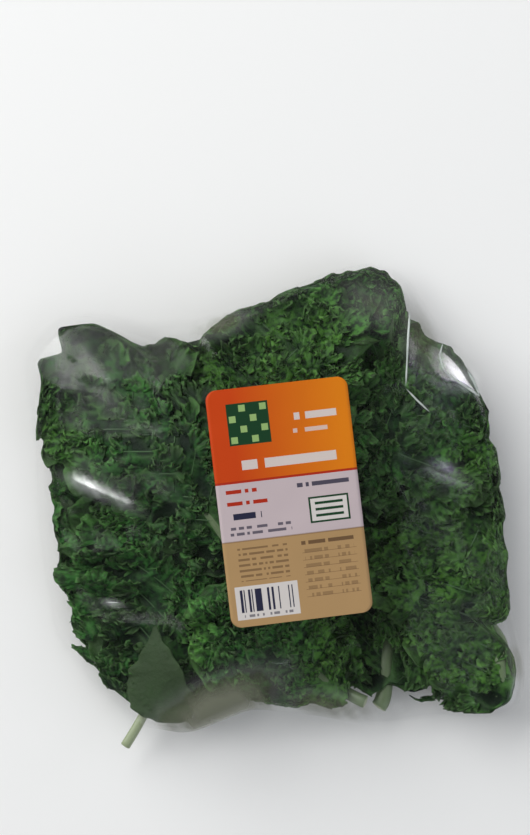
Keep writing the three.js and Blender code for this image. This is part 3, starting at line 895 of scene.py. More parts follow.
class LeafRoom:
    """Where the leaves may lie: inside the film, and out to the bunch's own outline."""

    # How far the margins reach from the middle of the bag: heading in degrees, distance.
    REACH = (
        (0, 99.5), (12, 101.5), (24, 106), (33, 104), (42, 102), (48, 101), (53, 112), (60, 116),
        (66, 110), (71, 104), (75, 97), (79, 95), (87, 88), (96, 87.5), (103, 83), (108, 79),
        (113, 87), (122, 88), (127, 110), (133, 120), (137, 111), (141, 121), (147, 111),
        (156, 106), (165, 100.5), (180, 98), (192, 99.5), (200, 97), (204, 106), (219, 105.5),
        (231, 105), (240, 103), (248, 92), (254, 82), (262, 83), (270, 86), (279, 92), (285, 94),
        (291, 102), (295, 95), (298, 93), (301, 109), (306, 121), (312, 136), (318, 131),
        (322.8, 121), (324, 116), (325, 107.5), (326.3, 109), (328, 113), (334, 110),
        (338, 104), (354, 100.5),
    )  # fmt: skip
    FILM_GAP = 1.3
    # The curls leave teeth in the outline: pitch in degrees, and depth. They start
    # from a little outside it, so that they leave its size as it is.
    TEETH = ((4.1, 1.5), (1.6, 1.0))
    TEETH_OUT = 1.9
    # Width of the soft zone inside the outline, as a share of it. Past TURN of that
    # width a margin folds back over the leaf, by FOLD_BACK of what it sticks out.
    SOFT = 0.09
    TURN = 2.1
    FOLD_BACK = 0.45
    # How much further out the outer half of each leaf is spread, to fill the outline.
    SPREAD = 0.055
    # How softly the film presses the curls down and the back holds them up, and how
    # far they stay from both.
    GIVE, BACK_GIVE = 1.5, 0.5
    CLEAR = 0.7

    def __init__(self, plan: BagPlan, front: "FrontFilm") -> None:
        """Keeps the bag's plan and the film that presses on the leaves.

        Args:
            plan: The bag's plan.
            front: The film over the leaves.
        """
        self.plan, self.front = plan, front
        reach = np.array(self.REACH, float)
        angles = np.arange(720) / 2
        sharp = np.interp(angles, reach[:, 0], reach[:, 1], period=360)
        inside = plan.radius(np.radians(angles)) - self.FILM_GAP
        even = np.minimum(sum(np.roll(sharp, k) for k in (-1, 0, 1)) / 3, inside)
        teeth = np.zeros_like(angles)
        for pitch, depth in self.TEETH:
            teeth = teeth + depth * (1 + lattice_noise(angles / pitch, angles * 0, 60))
        self.limits = np.minimum(even + self.TEETH_OUT - teeth, inside + 0.3)

    def limit(self, x: Array, y: Array) -> Array:
        """Furthest distance that a leaf may reach, in the direction of a place."""
        degrees = np.degrees(np.arctan2(y, x)) % 360
        return np.interp(degrees, np.arange(720) / 2, self.limits, period=360)

    def settled(self, x: Array, y: Array, reach: float = 1.0) -> tuple[Array, Array, Array]:
        """Draws places softly inside the outline, and folds back what lies far outside.

        Args:
            x: Plan X.
            y: Plan Y.
            reach: Share of the outline that they may fill.

        Returns:
            The new X and Y, and from 0 to 1 how far each place is folded over.
        """
        drawn = np.maximum(np.hypot(x, y) / self.limit(x, y), TINY)
        share = drawn * (1 + self.SPREAD * smooth_step((drawn - 0.5) / 0.4))
        excess = np.maximum(0, share - (reach - self.SOFT)) / self.SOFT
        back = np.maximum(0, excess - self.TURN)
        kept = share - self.SOFT * (excess - np.tanh(excess) + self.FOLD_BACK * back)
        return x * kept / drawn, y * kept / drawn, smooth_step(back / 1.5)

    def pressed(self, points: Array) -> Array:
        """Keeps points between the front film and the back film, softly pressed.

        Args:
            points: The points.

        Returns:
            The points in their new places.
        """
        made = points.copy()
        x, y = made[..., 0], made[..., 1]
        over = np.minimum(1.0, self.limit(x, y) / np.maximum(np.hypot(x, y), TINY))
        made[..., 0], made[..., 1] = x * over, y * over
        x, y = made[..., 0], made[..., 1]
        top = self.front.height(x, y) - self.CLEAR
        floor = self.plan.back_height(x, y) + self.CLEAR
        z = top - self.GIVE * np.logaddexp(0, (top - made[..., 2]) / self.GIVE)
        made[..., 2] = floor + self.BACK_GIVE * np.logaddexp(0, (z - floor) / self.BACK_GIVE)
        return made


class Crumple:
    """Crumples of about one size over a leaf's own plane, as a sum of short waves."""

    WAVES = 12

    def __init__(self, length: float, spread: float, seed: int) -> None:
        """Draws the waves.

        Args:
            length: Distance from crest to crest.
            spread: How far the waves turn from the leaf's long way, in degrees.
            seed: Which set of waves to draw.
        """
        rng = np.random.default_rng(seed)
        self.turn = np.radians(rng.uniform(-spread, spread, self.WAVES))
        self.number = 2 * math.pi / (length * rng.uniform(0.8, 1.3, self.WAVES))
        self.shift = rng.uniform(0, 2 * math.pi, self.WAVES)
        self.weight = math.sqrt(2 / self.WAVES)

    def read(self, along: Array, across: Array) -> tuple[Array, Array, Array]:
        """Reads the crumples at places on the leaf.

        Args:
            along: Distance along the leaf.
            across: Distance from its middle line.

        Returns:
            Height, and the pull along and across that sharpens the crests.
        """
        height = np.zeros_like(along)
        pull_along = np.zeros_like(along)
        pull_across = np.zeros_like(along)
        for turn, number, shift in zip(self.turn, self.number, self.shift):
            phase = number * (math.cos(turn) * along + math.sin(turn) * across) + shift
            height += self.weight * np.cos(phase)
            pull_along -= self.weight * math.cos(turn) * np.sin(phase)
            pull_across -= self.weight * math.sin(turn) * np.sin(phase)
        return height, pull_along, pull_across


@dataclass(frozen=True)
class Ruffle:
    """One size of crumple on a blade.

    Attributes:
        length: Distance from crest to crest.
        height: Height of a usual crest at the margin.
        pull: How far the crests are drawn together.
        start: Share of the half width where it begins.
        spread: How far its waves turn from the leaf's long way, in degrees.
    """

    length: float
    height: float
    pull: float
    start: float
    spread: float


@dataclass(frozen=True)
class Lobes:
    """The frilled lobes that cover both sides of a blade, in rows beside the midrib.

    Attributes:
        first: Share of the blade's length where the rows start.
        last: Share of the blade's length where they end.
        bare: Share of the blade's length past which lobes also cross the midrib.
        roots: Share of the half width where each row is rooted.
        lengths: Each row's lobe length as a share of the half width.
        fan: Half the angle that a lobe opens to, in degrees.
        stray: How far a lobe may turn from its neighbours, in degrees.
        start: Share of the lobe's length that is left out at its root.
        wave: Length of the large frills along the margin.
        height: How high the large frills stand.
        curl: How far they lean over sideways.
        scallop: How far they reach out and in.
        fine: Height of the small frills at the very edge.
        lift: How far the lobe's end stands up.
        roll: How far the very edge rolls back.
        aim: How far a lobe at the blade's start points away from the midrib, in degrees.
        aim_fall: How much less a lobe at the tip does.
        straight: How far a lobe beside the bare midrib may turn, in degrees.
        narrow: Its fan as a share of the others'.
        root_strays: How far roots are moved at least and at most, as shares of the half
            width: beside the bare midrib, across the midrib, and in the other rows.
        buckle: How far a lobe buckles as a whole.
    """

    first: float = 0.03
    last: float = 0.97
    bare: float = 0.22
    roots: tuple[float, ...] = (0.04, 0.26, 0.48, 0.69)
    lengths: tuple[float, ...] = (0.28, 0.28, 0.3, 0.34)
    fan: float = 60.0
    stray: float = 60.0
    start: float = 0.2
    wave: float = 3.7
    height: float = 1.35
    curl: float = 0.9
    scallop: float = 1.0
    fine: float = 0.6
    lift: float = 3.0
    roll: float = 1.2
    aim: float = 66.0
    aim_fall: float = 36.0
    straight: float = 15.0
    narrow: float = 0.65
    root_strays: tuple[tuple[float, float], ...] = ((0.07, 0.1), (-0.22, -0.06), (-0.02, 0.08))
    buckle: float = 1.5


@dataclass(frozen=True)
class LeafMaker:
    """Builds the visible blade, veins and stem of one leaf.

    Attributes:
        room: Where the leaves may lie.
        lobes: Sizes of their lobes.
        leaf: The leaf.
        sheet: Heights of its middle sheet.
    """

    room: LeafRoom
    lobes: Lobes
    leaf: Leaf
    sheet: Array

    RUFFLES = (
        Ruffle(length=13.0, height=1.2, pull=1.3, start=0.03, spread=70),
        Ruffle(length=6.4, height=0.9, pull=0.8, start=0.05, spread=85),
    )
    THICKNESS = 0.45
    # How far a margin that is folded back lies over the blade.
    FOLD_RISE = 1.6
    # Side veins: distance from one to the next, how far those of one side are shifted
    # from the other's as a share of it, their slant, and their radius from start to end.
    VEIN_PITCH, VEIN_SHIFT, VEIN_SLANT = 12.5, 0.3, 0.8
    VEIN_RADII = (0.36, 0.08)
    # Where the first one starts, the share of the blade past which none does, how far
    # each reaches as a share of the half width, how it bends, and its steps and faces.
    VEIN_FIRST, VEIN_LAST, VEIN_REACH, VEIN_BEND = 8.0, 0.8, 0.72, 0.004
    VEIN_STEPS, VEIN_SIDES = 10, 5
    # How far lobes and veins lie over the blade, and the usual radius of a stem.
    LOBE_LIFT, VEIN_LIFT = 0.3, 0.2
    USUAL_STEM = 2.6
    # Which noises give a lobe its outline, its waves' drift and strength, and its buckle.
    LOBE_NOISES = (300, 500, 700, 900)
    # Stem: faces round it, rings along it, depth of its ribs and of its groove.
    STEM_SIDES, STEM_RINGS = 14, 56
    RIBS, GROOVE = 0.06, 0.16

    def blade(self) -> Piece:
        """Builds the blade with its frilled lobes, each a thin closed skin.

        Returns:
            The blade, with attributes for its finish.
        """
        leaf = self.leaf
        skins = [self._base()]
        if leaf.lively:
            for side in (-1, 1):
                for row in range(len(self.lobes.roots)):
                    skins += [self._lobe(side, row, k) for k in range(leaf.place.value.lobes)]
        points, quads, values, count = [], [], {}, 0
        for grid, marks in skins:
            flat, faces = closed_skin(grid, self.THICKNESS)
            points.append(flat)
            quads.append(faces + count)
            count += len(flat)
            low = grid.shape[0] * grid.shape[1]
            for key, numbers in marks.items():
                values.setdefault(key, []).append(np.tile(numbers.ravel(), 2))
            lower = np.repeat([0.0, 1.0], low)
            bloom = 1 - lower if leaf.back else lower
            values.setdefault("under", []).append(np.maximum(bloom, 1 - leaf.lively))
        gathered = {key: np.concatenate(parts) for key, parts in values.items()}
        skin = np.concatenate(points), np.concatenate(quads)
        return write_mesh(f"{leaf.name}_blade_curly", *skin, None, gathered)

    def _laid(self, along: Array, across: Array, lift: Array | float) -> Array:
        """Lays places of the leaf's own plane in the bag, kept between its films.

        Args:
            along: Distance from the blade's start.
            across: Distance from the middle line.
            lift: Height above the blade's waved sheet.

        Returns:
            Points, one for each place.
        """
        leaf = self.leaf
        x0, y0, angle = leaf.middle_line(leaf.stem + along)
        x, y = x0 - np.sin(angle) * across, y0 + np.cos(angle) * across
        x, y, folded = self.room.settled(x, y, leaf.fill)
        t = np.clip(along / leaf.blade, 0, 1)
        u = np.clip(across / leaf.half_width(t), -1, 1)
        wave = leaf.frill_height(self.room.plan, t, u, x, y) * np.sin(leaf.frill_phase(t, u))
        z = Heights.refined(self.sheet, x, y) + wave + lift + self.FOLD_RISE * folded
        return self.room.pressed(np.stack([x, y, z], axis=-1))

    def _base(self) -> tuple[Array, dict[str, Array]]:
        """Lays the blade itself, crumpled between its veins.

        Returns:
            The blade's grid of points, and the marks for its finish.
        """
        leaf = self.leaf
        even = np.linspace(-1, 1, leaf.place.value.columns + 1)
        shares = np.linspace(0, 1, leaf.place.value.rows + 1)
        t, u = np.meshgrid(shares, np.sign(even) * np.abs(even) ** 0.9, indexing="ij")
        half = leaf.half_width(t)
        lobes = 1 + leaf.SCALLOP * np.cos(leaf.frill_phase(t, u)) * np.abs(u)
        pointed = 1 - 0.5 * (1 - leaf.lively) * smooth_step((t - 0.42) / 0.5)
        across = half * u * lobes * pointed
        along = t * leaf.blade + leaf.FORWARD * half * u * u
        size = np.abs(u)
        crest = np.zeros_like(t)
        pulled_along, pulled_across = along.copy(), across.copy()
        for order, ruffle in enumerate(self.RUFFLES):
            crumple = Crumple(ruffle.length, ruffle.spread, 100 * order + leaf.number)
            height, pull_along, pull_across = crumple.read(along, across)
            strength = leaf.lively * smooth_step((size - ruffle.start) / (1 - ruffle.start) * 1.6)
            crest += ruffle.height * strength * height
            pulled_along += ruffle.pull * strength * pull_along
            pulled_across += ruffle.pull * strength * pull_across
        points = self._laid(pulled_along, pulled_across, crest)
        veins = self._vein_marks(along, across)
        # The crest mark also paints light on the ruffles' crests and shade in their hollows; the edge
        # mark paints a highlight along the margin.
        return points, {"crest": crest + leaf.tone, "edge": size**6, "vein": veins}

    def _lobe(self, side: int, row: int, index: int) -> tuple[Array, dict[str, Array]]:
        """Lays one frilled lobe, a fan that stands up from the blade.

        Args:
            side: Which side of the midrib, -1 or 1.
            row: The row that it stands in, 0 beside the midrib.
            index: Its number in the row.

        Returns:
            The lobe's grid of points, and the marks for its finish.
        """
        leaf, lobes, fineness = self.leaf, self.lobes, self.leaf.place.value
        seed = 100 * leaf.number + 25 * row + 2 * index + (side > 0)
        rng = np.random.default_rng(seed)
        outline, drifting, strong, buckled = (kind + seed for kind in self.LOBE_NOISES)
        begin = max(lobes.first, leaf.smooth_to)
        step = (lobes.last - begin) / fineness.lobes
        t0 = begin + step * (index + 0.5 * (row % 2) + rng.uniform(-0.3, 0.3))
        half = float(leaf.half_width(np.array(min(1.0, t0 + 0.06))))
        beside = row == 0 and t0 < lobes.bare
        stray = lobes.straight if beside else lobes.stray
        aim = math.radians(lobes.aim - lobes.aim_fall * t0 + rng.uniform(-stray, stray))
        length = half * lobes.lengths[row] * rng.uniform(0.75, 1.25)
        fan = math.radians(lobes.fan * rng.uniform(0.75, 1.2) * (lobes.narrow if beside else 1.0))
        out, over = np.linspace(0, 1, fineness.lobe_rows), np.linspace(-1, 1, fineness.lobe_columns)
        grown, psi = np.meshgrid(out, over, indexing="ij")
        rho = lobes.start + (1 - lobes.start) * grown
        uneven = 1 + 0.3 * lattice_noise(psi * 2.6 + seed, grown * 0, outline)
        reach = length * (1 - 0.3 * psi**2) * uneven
        waves = 2 * fan * length / lobes.wave
        drift = lattice_noise(psi * waves * 0.45 + seed, grown * 1.6, drifting)
        phase = math.pi * waves * psi + seed + 1.4 * grown * rng.choice((-1, 1)) + 3.6 * drift
        strength = 0.9 + 0.75 * lattice_noise(psi * waves * 0.5 + 9, grown * 2 + seed, strong)
        ruffle = leaf.lively * grown**2.1 * strength
        fine = leaf.lively * lobes.fine * grown**3
        quick = 2.3 * phase + 3 * drift
        tone = leaf.tone + rng.uniform(-0.9, 0.9)
        height = lobes.height * ruffle * np.sin(phase) + fine * np.sin(quick + 1.3)
        sideways = lobes.curl * ruffle * np.sin(2 * phase) + 0.7 * fine * np.sin(2 * quick)
        outward = lobes.scallop * ruffle * np.cos(phase + 0.9) + 0.7 * fine * np.cos(quick)
        turn = aim + psi * fan
        far = rho * reach + outward - lobes.roll * grown**4
        along = t0 * leaf.blade + far * np.cos(turn) - sideways * np.sin(turn)
        kind = 0 if beside else 1 if row == 0 else 2
        root = half * (lobes.roots[row] + rng.uniform(*lobes.root_strays[kind]))
        across = side * (root + far * np.sin(turn) + sideways * np.cos(turn))
        stand = lobes.lift * rng.uniform(0.3, 1.2) * grown**1.4 * (0.6 + rng.uniform(-0.5, 0.5) * psi)
        buckle = lobes.buckle * grown * lattice_noise(psi * 1.8 + 5, grown * 1.3 + seed, buckled)
        points = self._laid(along, across, self.LOBE_LIFT + stand + height + buckle)
        middle = np.exp(-((psi * fan * far / 0.8) ** 2)) * (1 - grown)
        # The crest mark paints light on the lobe's high parts and shade on its low ones, with a random
        # tone; the edge mark paints a highlight towards its rim.
        marks = {"crest": height + 0.8 * stand + buckle + tone, "edge": grown**3, "vein": 0.8 * middle}
        return points, marks

    def _vein_marks(self, along: Array, across: Array) -> Array:
        """How strongly each place is part of a pale vein.

        Args:
            along: Distance from the blade's start.
            across: Distance from the middle line.

        Returns:
            Values from 0 to 1.
        """
        leaf, pitch = self.leaf, self.VEIN_PITCH
        midrib = np.exp(-((across / 2.0) ** 2)) * (1 - 0.5 * np.clip(along / leaf.blade, 0, 1))
        slant = (along - self.VEIN_SLANT * np.abs(across)) / pitch + self.VEIN_SHIFT * np.sign(across)
        near = np.abs(slant - np.round(slant)) * pitch
        lateral = 0.7 * np.exp(-((near / 0.8) ** 2)) * (1 - np.clip(np.abs(across) / 42, 0, 1))
        return np.maximum(midrib, lateral) * (0.3 + 0.7 * leaf.lively)

    def veins(self, material: Finish) -> Piece:
        """Builds the side veins as tapered tubes along lines on the blade.

        Args:
            material: The finish of the veins.

        Returns:
            One mesh with all the side veins of the leaf.
        """
        leaf, steps, shift = self.leaf, self.VEIN_STEPS, self.VEIN_SHIFT * self.VEIN_PITCH
        points, edges, radii = [], [], []
        for start in np.arange(self.VEIN_FIRST, self.VEIN_LAST * leaf.blade, self.VEIN_PITCH):
            for side in (-1, 1):
                half = float(leaf.half_width(np.array(start / leaf.blade)))
                across = side * np.linspace(0.4, self.VEIN_REACH * half, steps)
                along = start + side * shift + self.VEIN_SLANT * np.abs(across)
                along = along + self.VEIN_BEND * across**2
                base = len(points) * steps
                points.append(self._laid(along, across, self.VEIN_LIFT))
                edges += [(base + k, base + k + 1) for k in range(steps - 1)]
                stout = (leaf.radius / self.USUAL_STEM) ** 0.5
                radii.append(np.linspace(*self.VEIN_RADII, steps) * stout)
        lines = np.concatenate(points), edges, np.concatenate(radii)
        return swept_lines(f"{leaf.name}_veins", *lines, self.VEIN_SIDES, material)

    def stem(self) -> Piece:
        """Builds the stem and midrib as one ribbed rod with rounded cut end.

        Returns:
            The stem, with its UV map round and along it.
        """
        leaf, plan = self.leaf, self.room.plan
        sides, steps = self.STEM_SIDES, self.STEM_RINGS
        length = (leaf.stem + leaf.blade) * leaf.STEM_REACH
        s = np.linspace(0, length, steps)
        x, y = leaf.stem_plan(plan, s)
        kept_x, kept_y, _ = self.room.settled(x, y, leaf.fill)
        within = smooth_step((s - leaf.stem - 10) / 20)
        x, y = x + (kept_x - x) * within, y + (kept_y - y) * within
        radius = leaf.stem_radius(s)
        way = 1.0 if leaf.back else -1.0
        sunk = leaf.SOLID / 2 + leaf.STEM_GAP + radius
        sunk_share = 0.45 + 0.35 * smooth_step((s - leaf.stem) / (0.3 * leaf.blade))
        through = radius * (sunk_share if leaf.lively else 1.3)
        into_blade = smooth_step((s - leaf.stem * 0.6) / 16)
        z = Heights.refined(self.sheet, x, y) + way * (sunk * (1 - into_blade) + through * into_blade)
        centre = np.stack([x, y, z], axis=1)
        along = np.gradient(centre, axis=0)
        along /= np.linalg.norm(along, axis=1, keepdims=True)
        right = np.cross(along, np.array([0.0, 0.0, 1.0]))
        right /= np.linalg.norm(right, axis=1, keepdims=True)
        up = np.cross(right, along)
        angle = np.arange(sides) / sides * 2 * math.pi
        ribs = 1 + self.RIBS * np.cos(4 * angle + 1.0)
        groove = 1 - self.GROOVE * np.exp(-(((angle - math.pi / 2) / 0.5) ** 2))
        profile = ribs * groove
        ring = centre[:, None] + (
            right[:, None] * (radius[:, None] * profile * np.cos(angle))[..., None]
            + up[:, None] * (radius[:, None] * profile * np.sin(angle))[..., None]
        )
        start = centre[0] - along[0] * 0.25 * radius[0]
        end = centre[-1] + along[-1] * 0.6 * radius[-1]
        inner = centre[:1, None] + (ring[:1] - centre[:1, None]) * 0.86 - along[0] * 0.12 * radius[0]
        rings = np.concatenate([inner, ring])
        flat = np.concatenate([rings.reshape(-1, 3), start[None], end[None]])
        n = np.arange(sides)
        following = (n + 1) % sides
        quads = []
        for k in range(len(rings) - 1):
            a, b = k * sides + n, k * sides + following
            quads.append(np.stack([a, b, b + sides, a + sides], axis=1))
        base, last = len(flat) - 2, (len(rings) - 1) * sides
        half = np.arange(0, sides, 2)
        quads.append(np.stack([np.full(sides // 2, base), (half + 2) % sides, half + 1, half], axis=1))
        tip = [np.full(sides // 2, base + 1), last + half, last + half + 1, last + (half + 2) % sides]
        quads.append(np.stack(tip, axis=1))
        along_share = np.concatenate([[0.0], s / length])
        v = np.concatenate([np.repeat(along_share, sides), [0.0, 1.0]])
        across = np.concatenate([np.tile(angle / (2 * math.pi), len(rings)), [0.5, 0.5]])
        cut = np.concatenate([np.ones(sides), np.zeros((len(rings) - 1) * sides), [1.0, 0.0]])
        bagged = 0.0 if leaf.sticks_out(plan) else 0.7
        deeper = np.maximum(bagged, smooth_step((s - leaf.stem - 16) / 50))
        inside = np.concatenate([np.repeat(np.concatenate([[0.0], deeper]), sides), [0.0, 1.0]])
        return write_mesh(
            f"{leaf.name}_stem_ribbed",
            flat,
            np.concatenate(quads)[:, ::-1],
            np.stack([across, v], axis=1),
            {"cut": cut, "midrib": inside},
        )


# --- The bunch ---

T, H = Place.TOP, Place.HIDDEN
LEAVES = (
    Leaf(0, (-30, -86), 120, -28, 14, 150, 104, 8, 0.5, 3.2, 3.0, 0.9, False, H),
    Leaf(1, (38, -94), 80, 2, 12, 156, 100, 8, 0.5, 3.4, 3.0, 0.95, False, H),
    Leaf(2, (4, -84), 96, 3, 18, 146, 84, 6, 0.5, 3.0, 3.0, 0.9, True, H),
    Leaf(3, (26, -36), -4, -50, 12, 90, 88, 4, 0.5, 2.5, 3.4, 0.955, False, T),
    Leaf(4, (14, 8), 52, 0, 12, 108, 92, 4, 0.5, 2.6, 3.4, 0.955, False, T),
    Leaf(5, (-20, 8), 104, 16, 12, 80, 88, 4, 0.5, 2.4, 3.4, 0.955, True, H),
    Leaf(6, (94, -97), 100, 14, 4, 122, 84, 20, 0.5, 3.6, 4.4, 0.96, False, T),
    Leaf(7, (14, 14), 4, 24, 10, 78, 82, 4, 0.5, 2.2, 4.4, 0.96, False, T),
    Leaf(8, (12, -20), 95, -14, 14, 102, 84, 4, 0.5, 2.4, 4.4, 0.955, False, T),
    Leaf(9, (-74, -94), 50, 56, 20, 108, 98, 10, 0.5, 2.1, 4.6, 0.96, False, T),
    Leaf(10, (-8, -36), 113, 22, 14, 132, 80, 4, 0.5, 2.6, 4.4, 0.96, False, T),
    Leaf(11, (31, -88), 147, -40, 12, 68, 76, 4, 0.5, 2.7, 4.2, 0.955, False, T),
    Leaf(12, (-55, -87.5), 90, -2, 3, 41, 29, 12, 1.5, 1.4, 0.8, 0.96, False, H),
)

# How steeply a leaf's sheet may fall, and a height that holds nothing up.
SHEET_SLOPE = 0.5
NOWHERE = -100.0


def lay_bunch(plan: BagPlan) -> tuple[list[Array], Array]:
    """Lays the leaves on each other in turn, as the solids are laid.

    Args:
        plan: The bag's plan.

    Returns:
        Each leaf's middle sheet, and the top of the whole bunch.
    """
    x, y = Heights.places()
    top = plan.back_height(x, y) + plan.sizes.film + plan.sizes.clear
    sheets = []
    for leaf in LEAVES:
        above, below = leaf.envelope(plan)
        reached, covered = np.isfinite(below), np.isfinite(above)
        need = np.where(reached, top + np.where(reached, below, 0) + plan.sizes.clear, NOWHERE)
        sheet = Heights.draped(need, SHEET_SLOPE, 1)
        top = np.where(covered, np.maximum(top, sheet + np.where(covered, above, 0)), top)
        sheets.append(sheet)
    return sheets, top


# --- The bag and its label ---


@dataclass(frozen=True)
class LabelSizes:
    """Sizes of the paper label.

    x and y are its middle's plan place, gap its height over the film, apron the width
    of flat film round it, and steepest the limit of its slope.
    """

    width: float = 60.0
    height: float = 100.0
    corner: float = 4.5
    x: float = 8.0
    y: float = 3.0
    gap: float = 0.35
    apron: float = 9.0
    steepest: float = 0.14
    paper: float = 0.16


class FrontFilm:
    """The film over the bunch, draped as the solid's is."""

    # How far it stands over its edge at least, and the share of the way to the edge
    # past which the bunch doesn't lift it. Cells that a height spreads when it is loose.
    LEAST_RISE = 4
    LIFTED_TO = 0.99
    LOOSE = 4

    def __init__(self, plan: BagPlan, label: LabelSizes, top: Array) -> None:
        """Drapes the film over the bunch and flattens it under the label.

        Args:
            plan: The bag's plan.
            label: The label's sizes.
            top: Heights of the whole bunch.
        """
        self.plan, self.label = plan, label
        s = plan.sizes
        x, y = Heights.places()
        share = plan.share(x, y)
        edge = plan.front_edge(np.arctan2(y, x))
        rise = top + s.film + s.clear - edge
        fall = np.maximum(plan.edge_fall(share), TINY)
        need = edge + np.maximum(self.LEAST_RISE, np.where(share < self.LIFTED_TO, rise / fall, 0))
        loose = Heights.draped(need, s.slope, self.LOOSE)
        self.middle, self.along_x, self.along_y = self._resting_plane(loose)
        near = self._near(x, y, label.apron)
        raised = np.where(near, self.plane(x, y), loose)
        film = Heights.draped(raised, s.slope, 1)
        self.film = np.where(near, self.plane(x, y), film)

    def _near(self, x: Array, y: Array, margin: float) -> Array:
        """Whether places are within a margin of the label."""
        s = self.label
        return (np.abs(x - s.x) < s.width / 2 + margin) & (np.abs(y - s.y) < s.height / 2 + margin)

    def _resting_plane(self, heights: Array) -> tuple[float, float, float]:
        """The plane that rests on some heights in the label's place.

        Args:
            heights: The heights, by cell.

        Returns:
            Its height in the label's middle, and its slope along X and Y.
        """
        label, limit = self.label, self.label.steepest
        gx, gy = Heights.places()
        x, y = gx - label.x, gy - label.y
        inside = (np.abs(x) <= label.width / 2) & (np.abs(y) <= label.height / 2)
        ways, zs = (x[inside], y[inside]), heights[inside]
        slopes = [float(np.clip((w * zs).sum() / (w * w).sum(), -limit, limit)) for w in ways]
        level = heights - slopes[0] * x - slopes[1] * y
        middle = float(np.max(level[self._near(gx, gy, label.apron)]))
        return max(0.0, middle), *slopes

    def plane(self, x: Array, y: Array) -> Array:
        """Height of the label's plane."""
        return self.middle + self.along_x * (x - self.label.x) + self.along_y * (y - self.label.y)

    def height(self, x: Array, y: Array) -> Array:
        """Height of the front film at a place, without its creases.

        Args:
            x: Plan X.
            y: Plan Y.

        Returns:
            One height for each place.
        """
        share = self.plan.share(x, y)
        edge = self.plan.front_edge(np.arctan2(y, x))
        return edge + (Heights.refined(self.film, x, y) - edge) * self.plan.edge_fall(share)


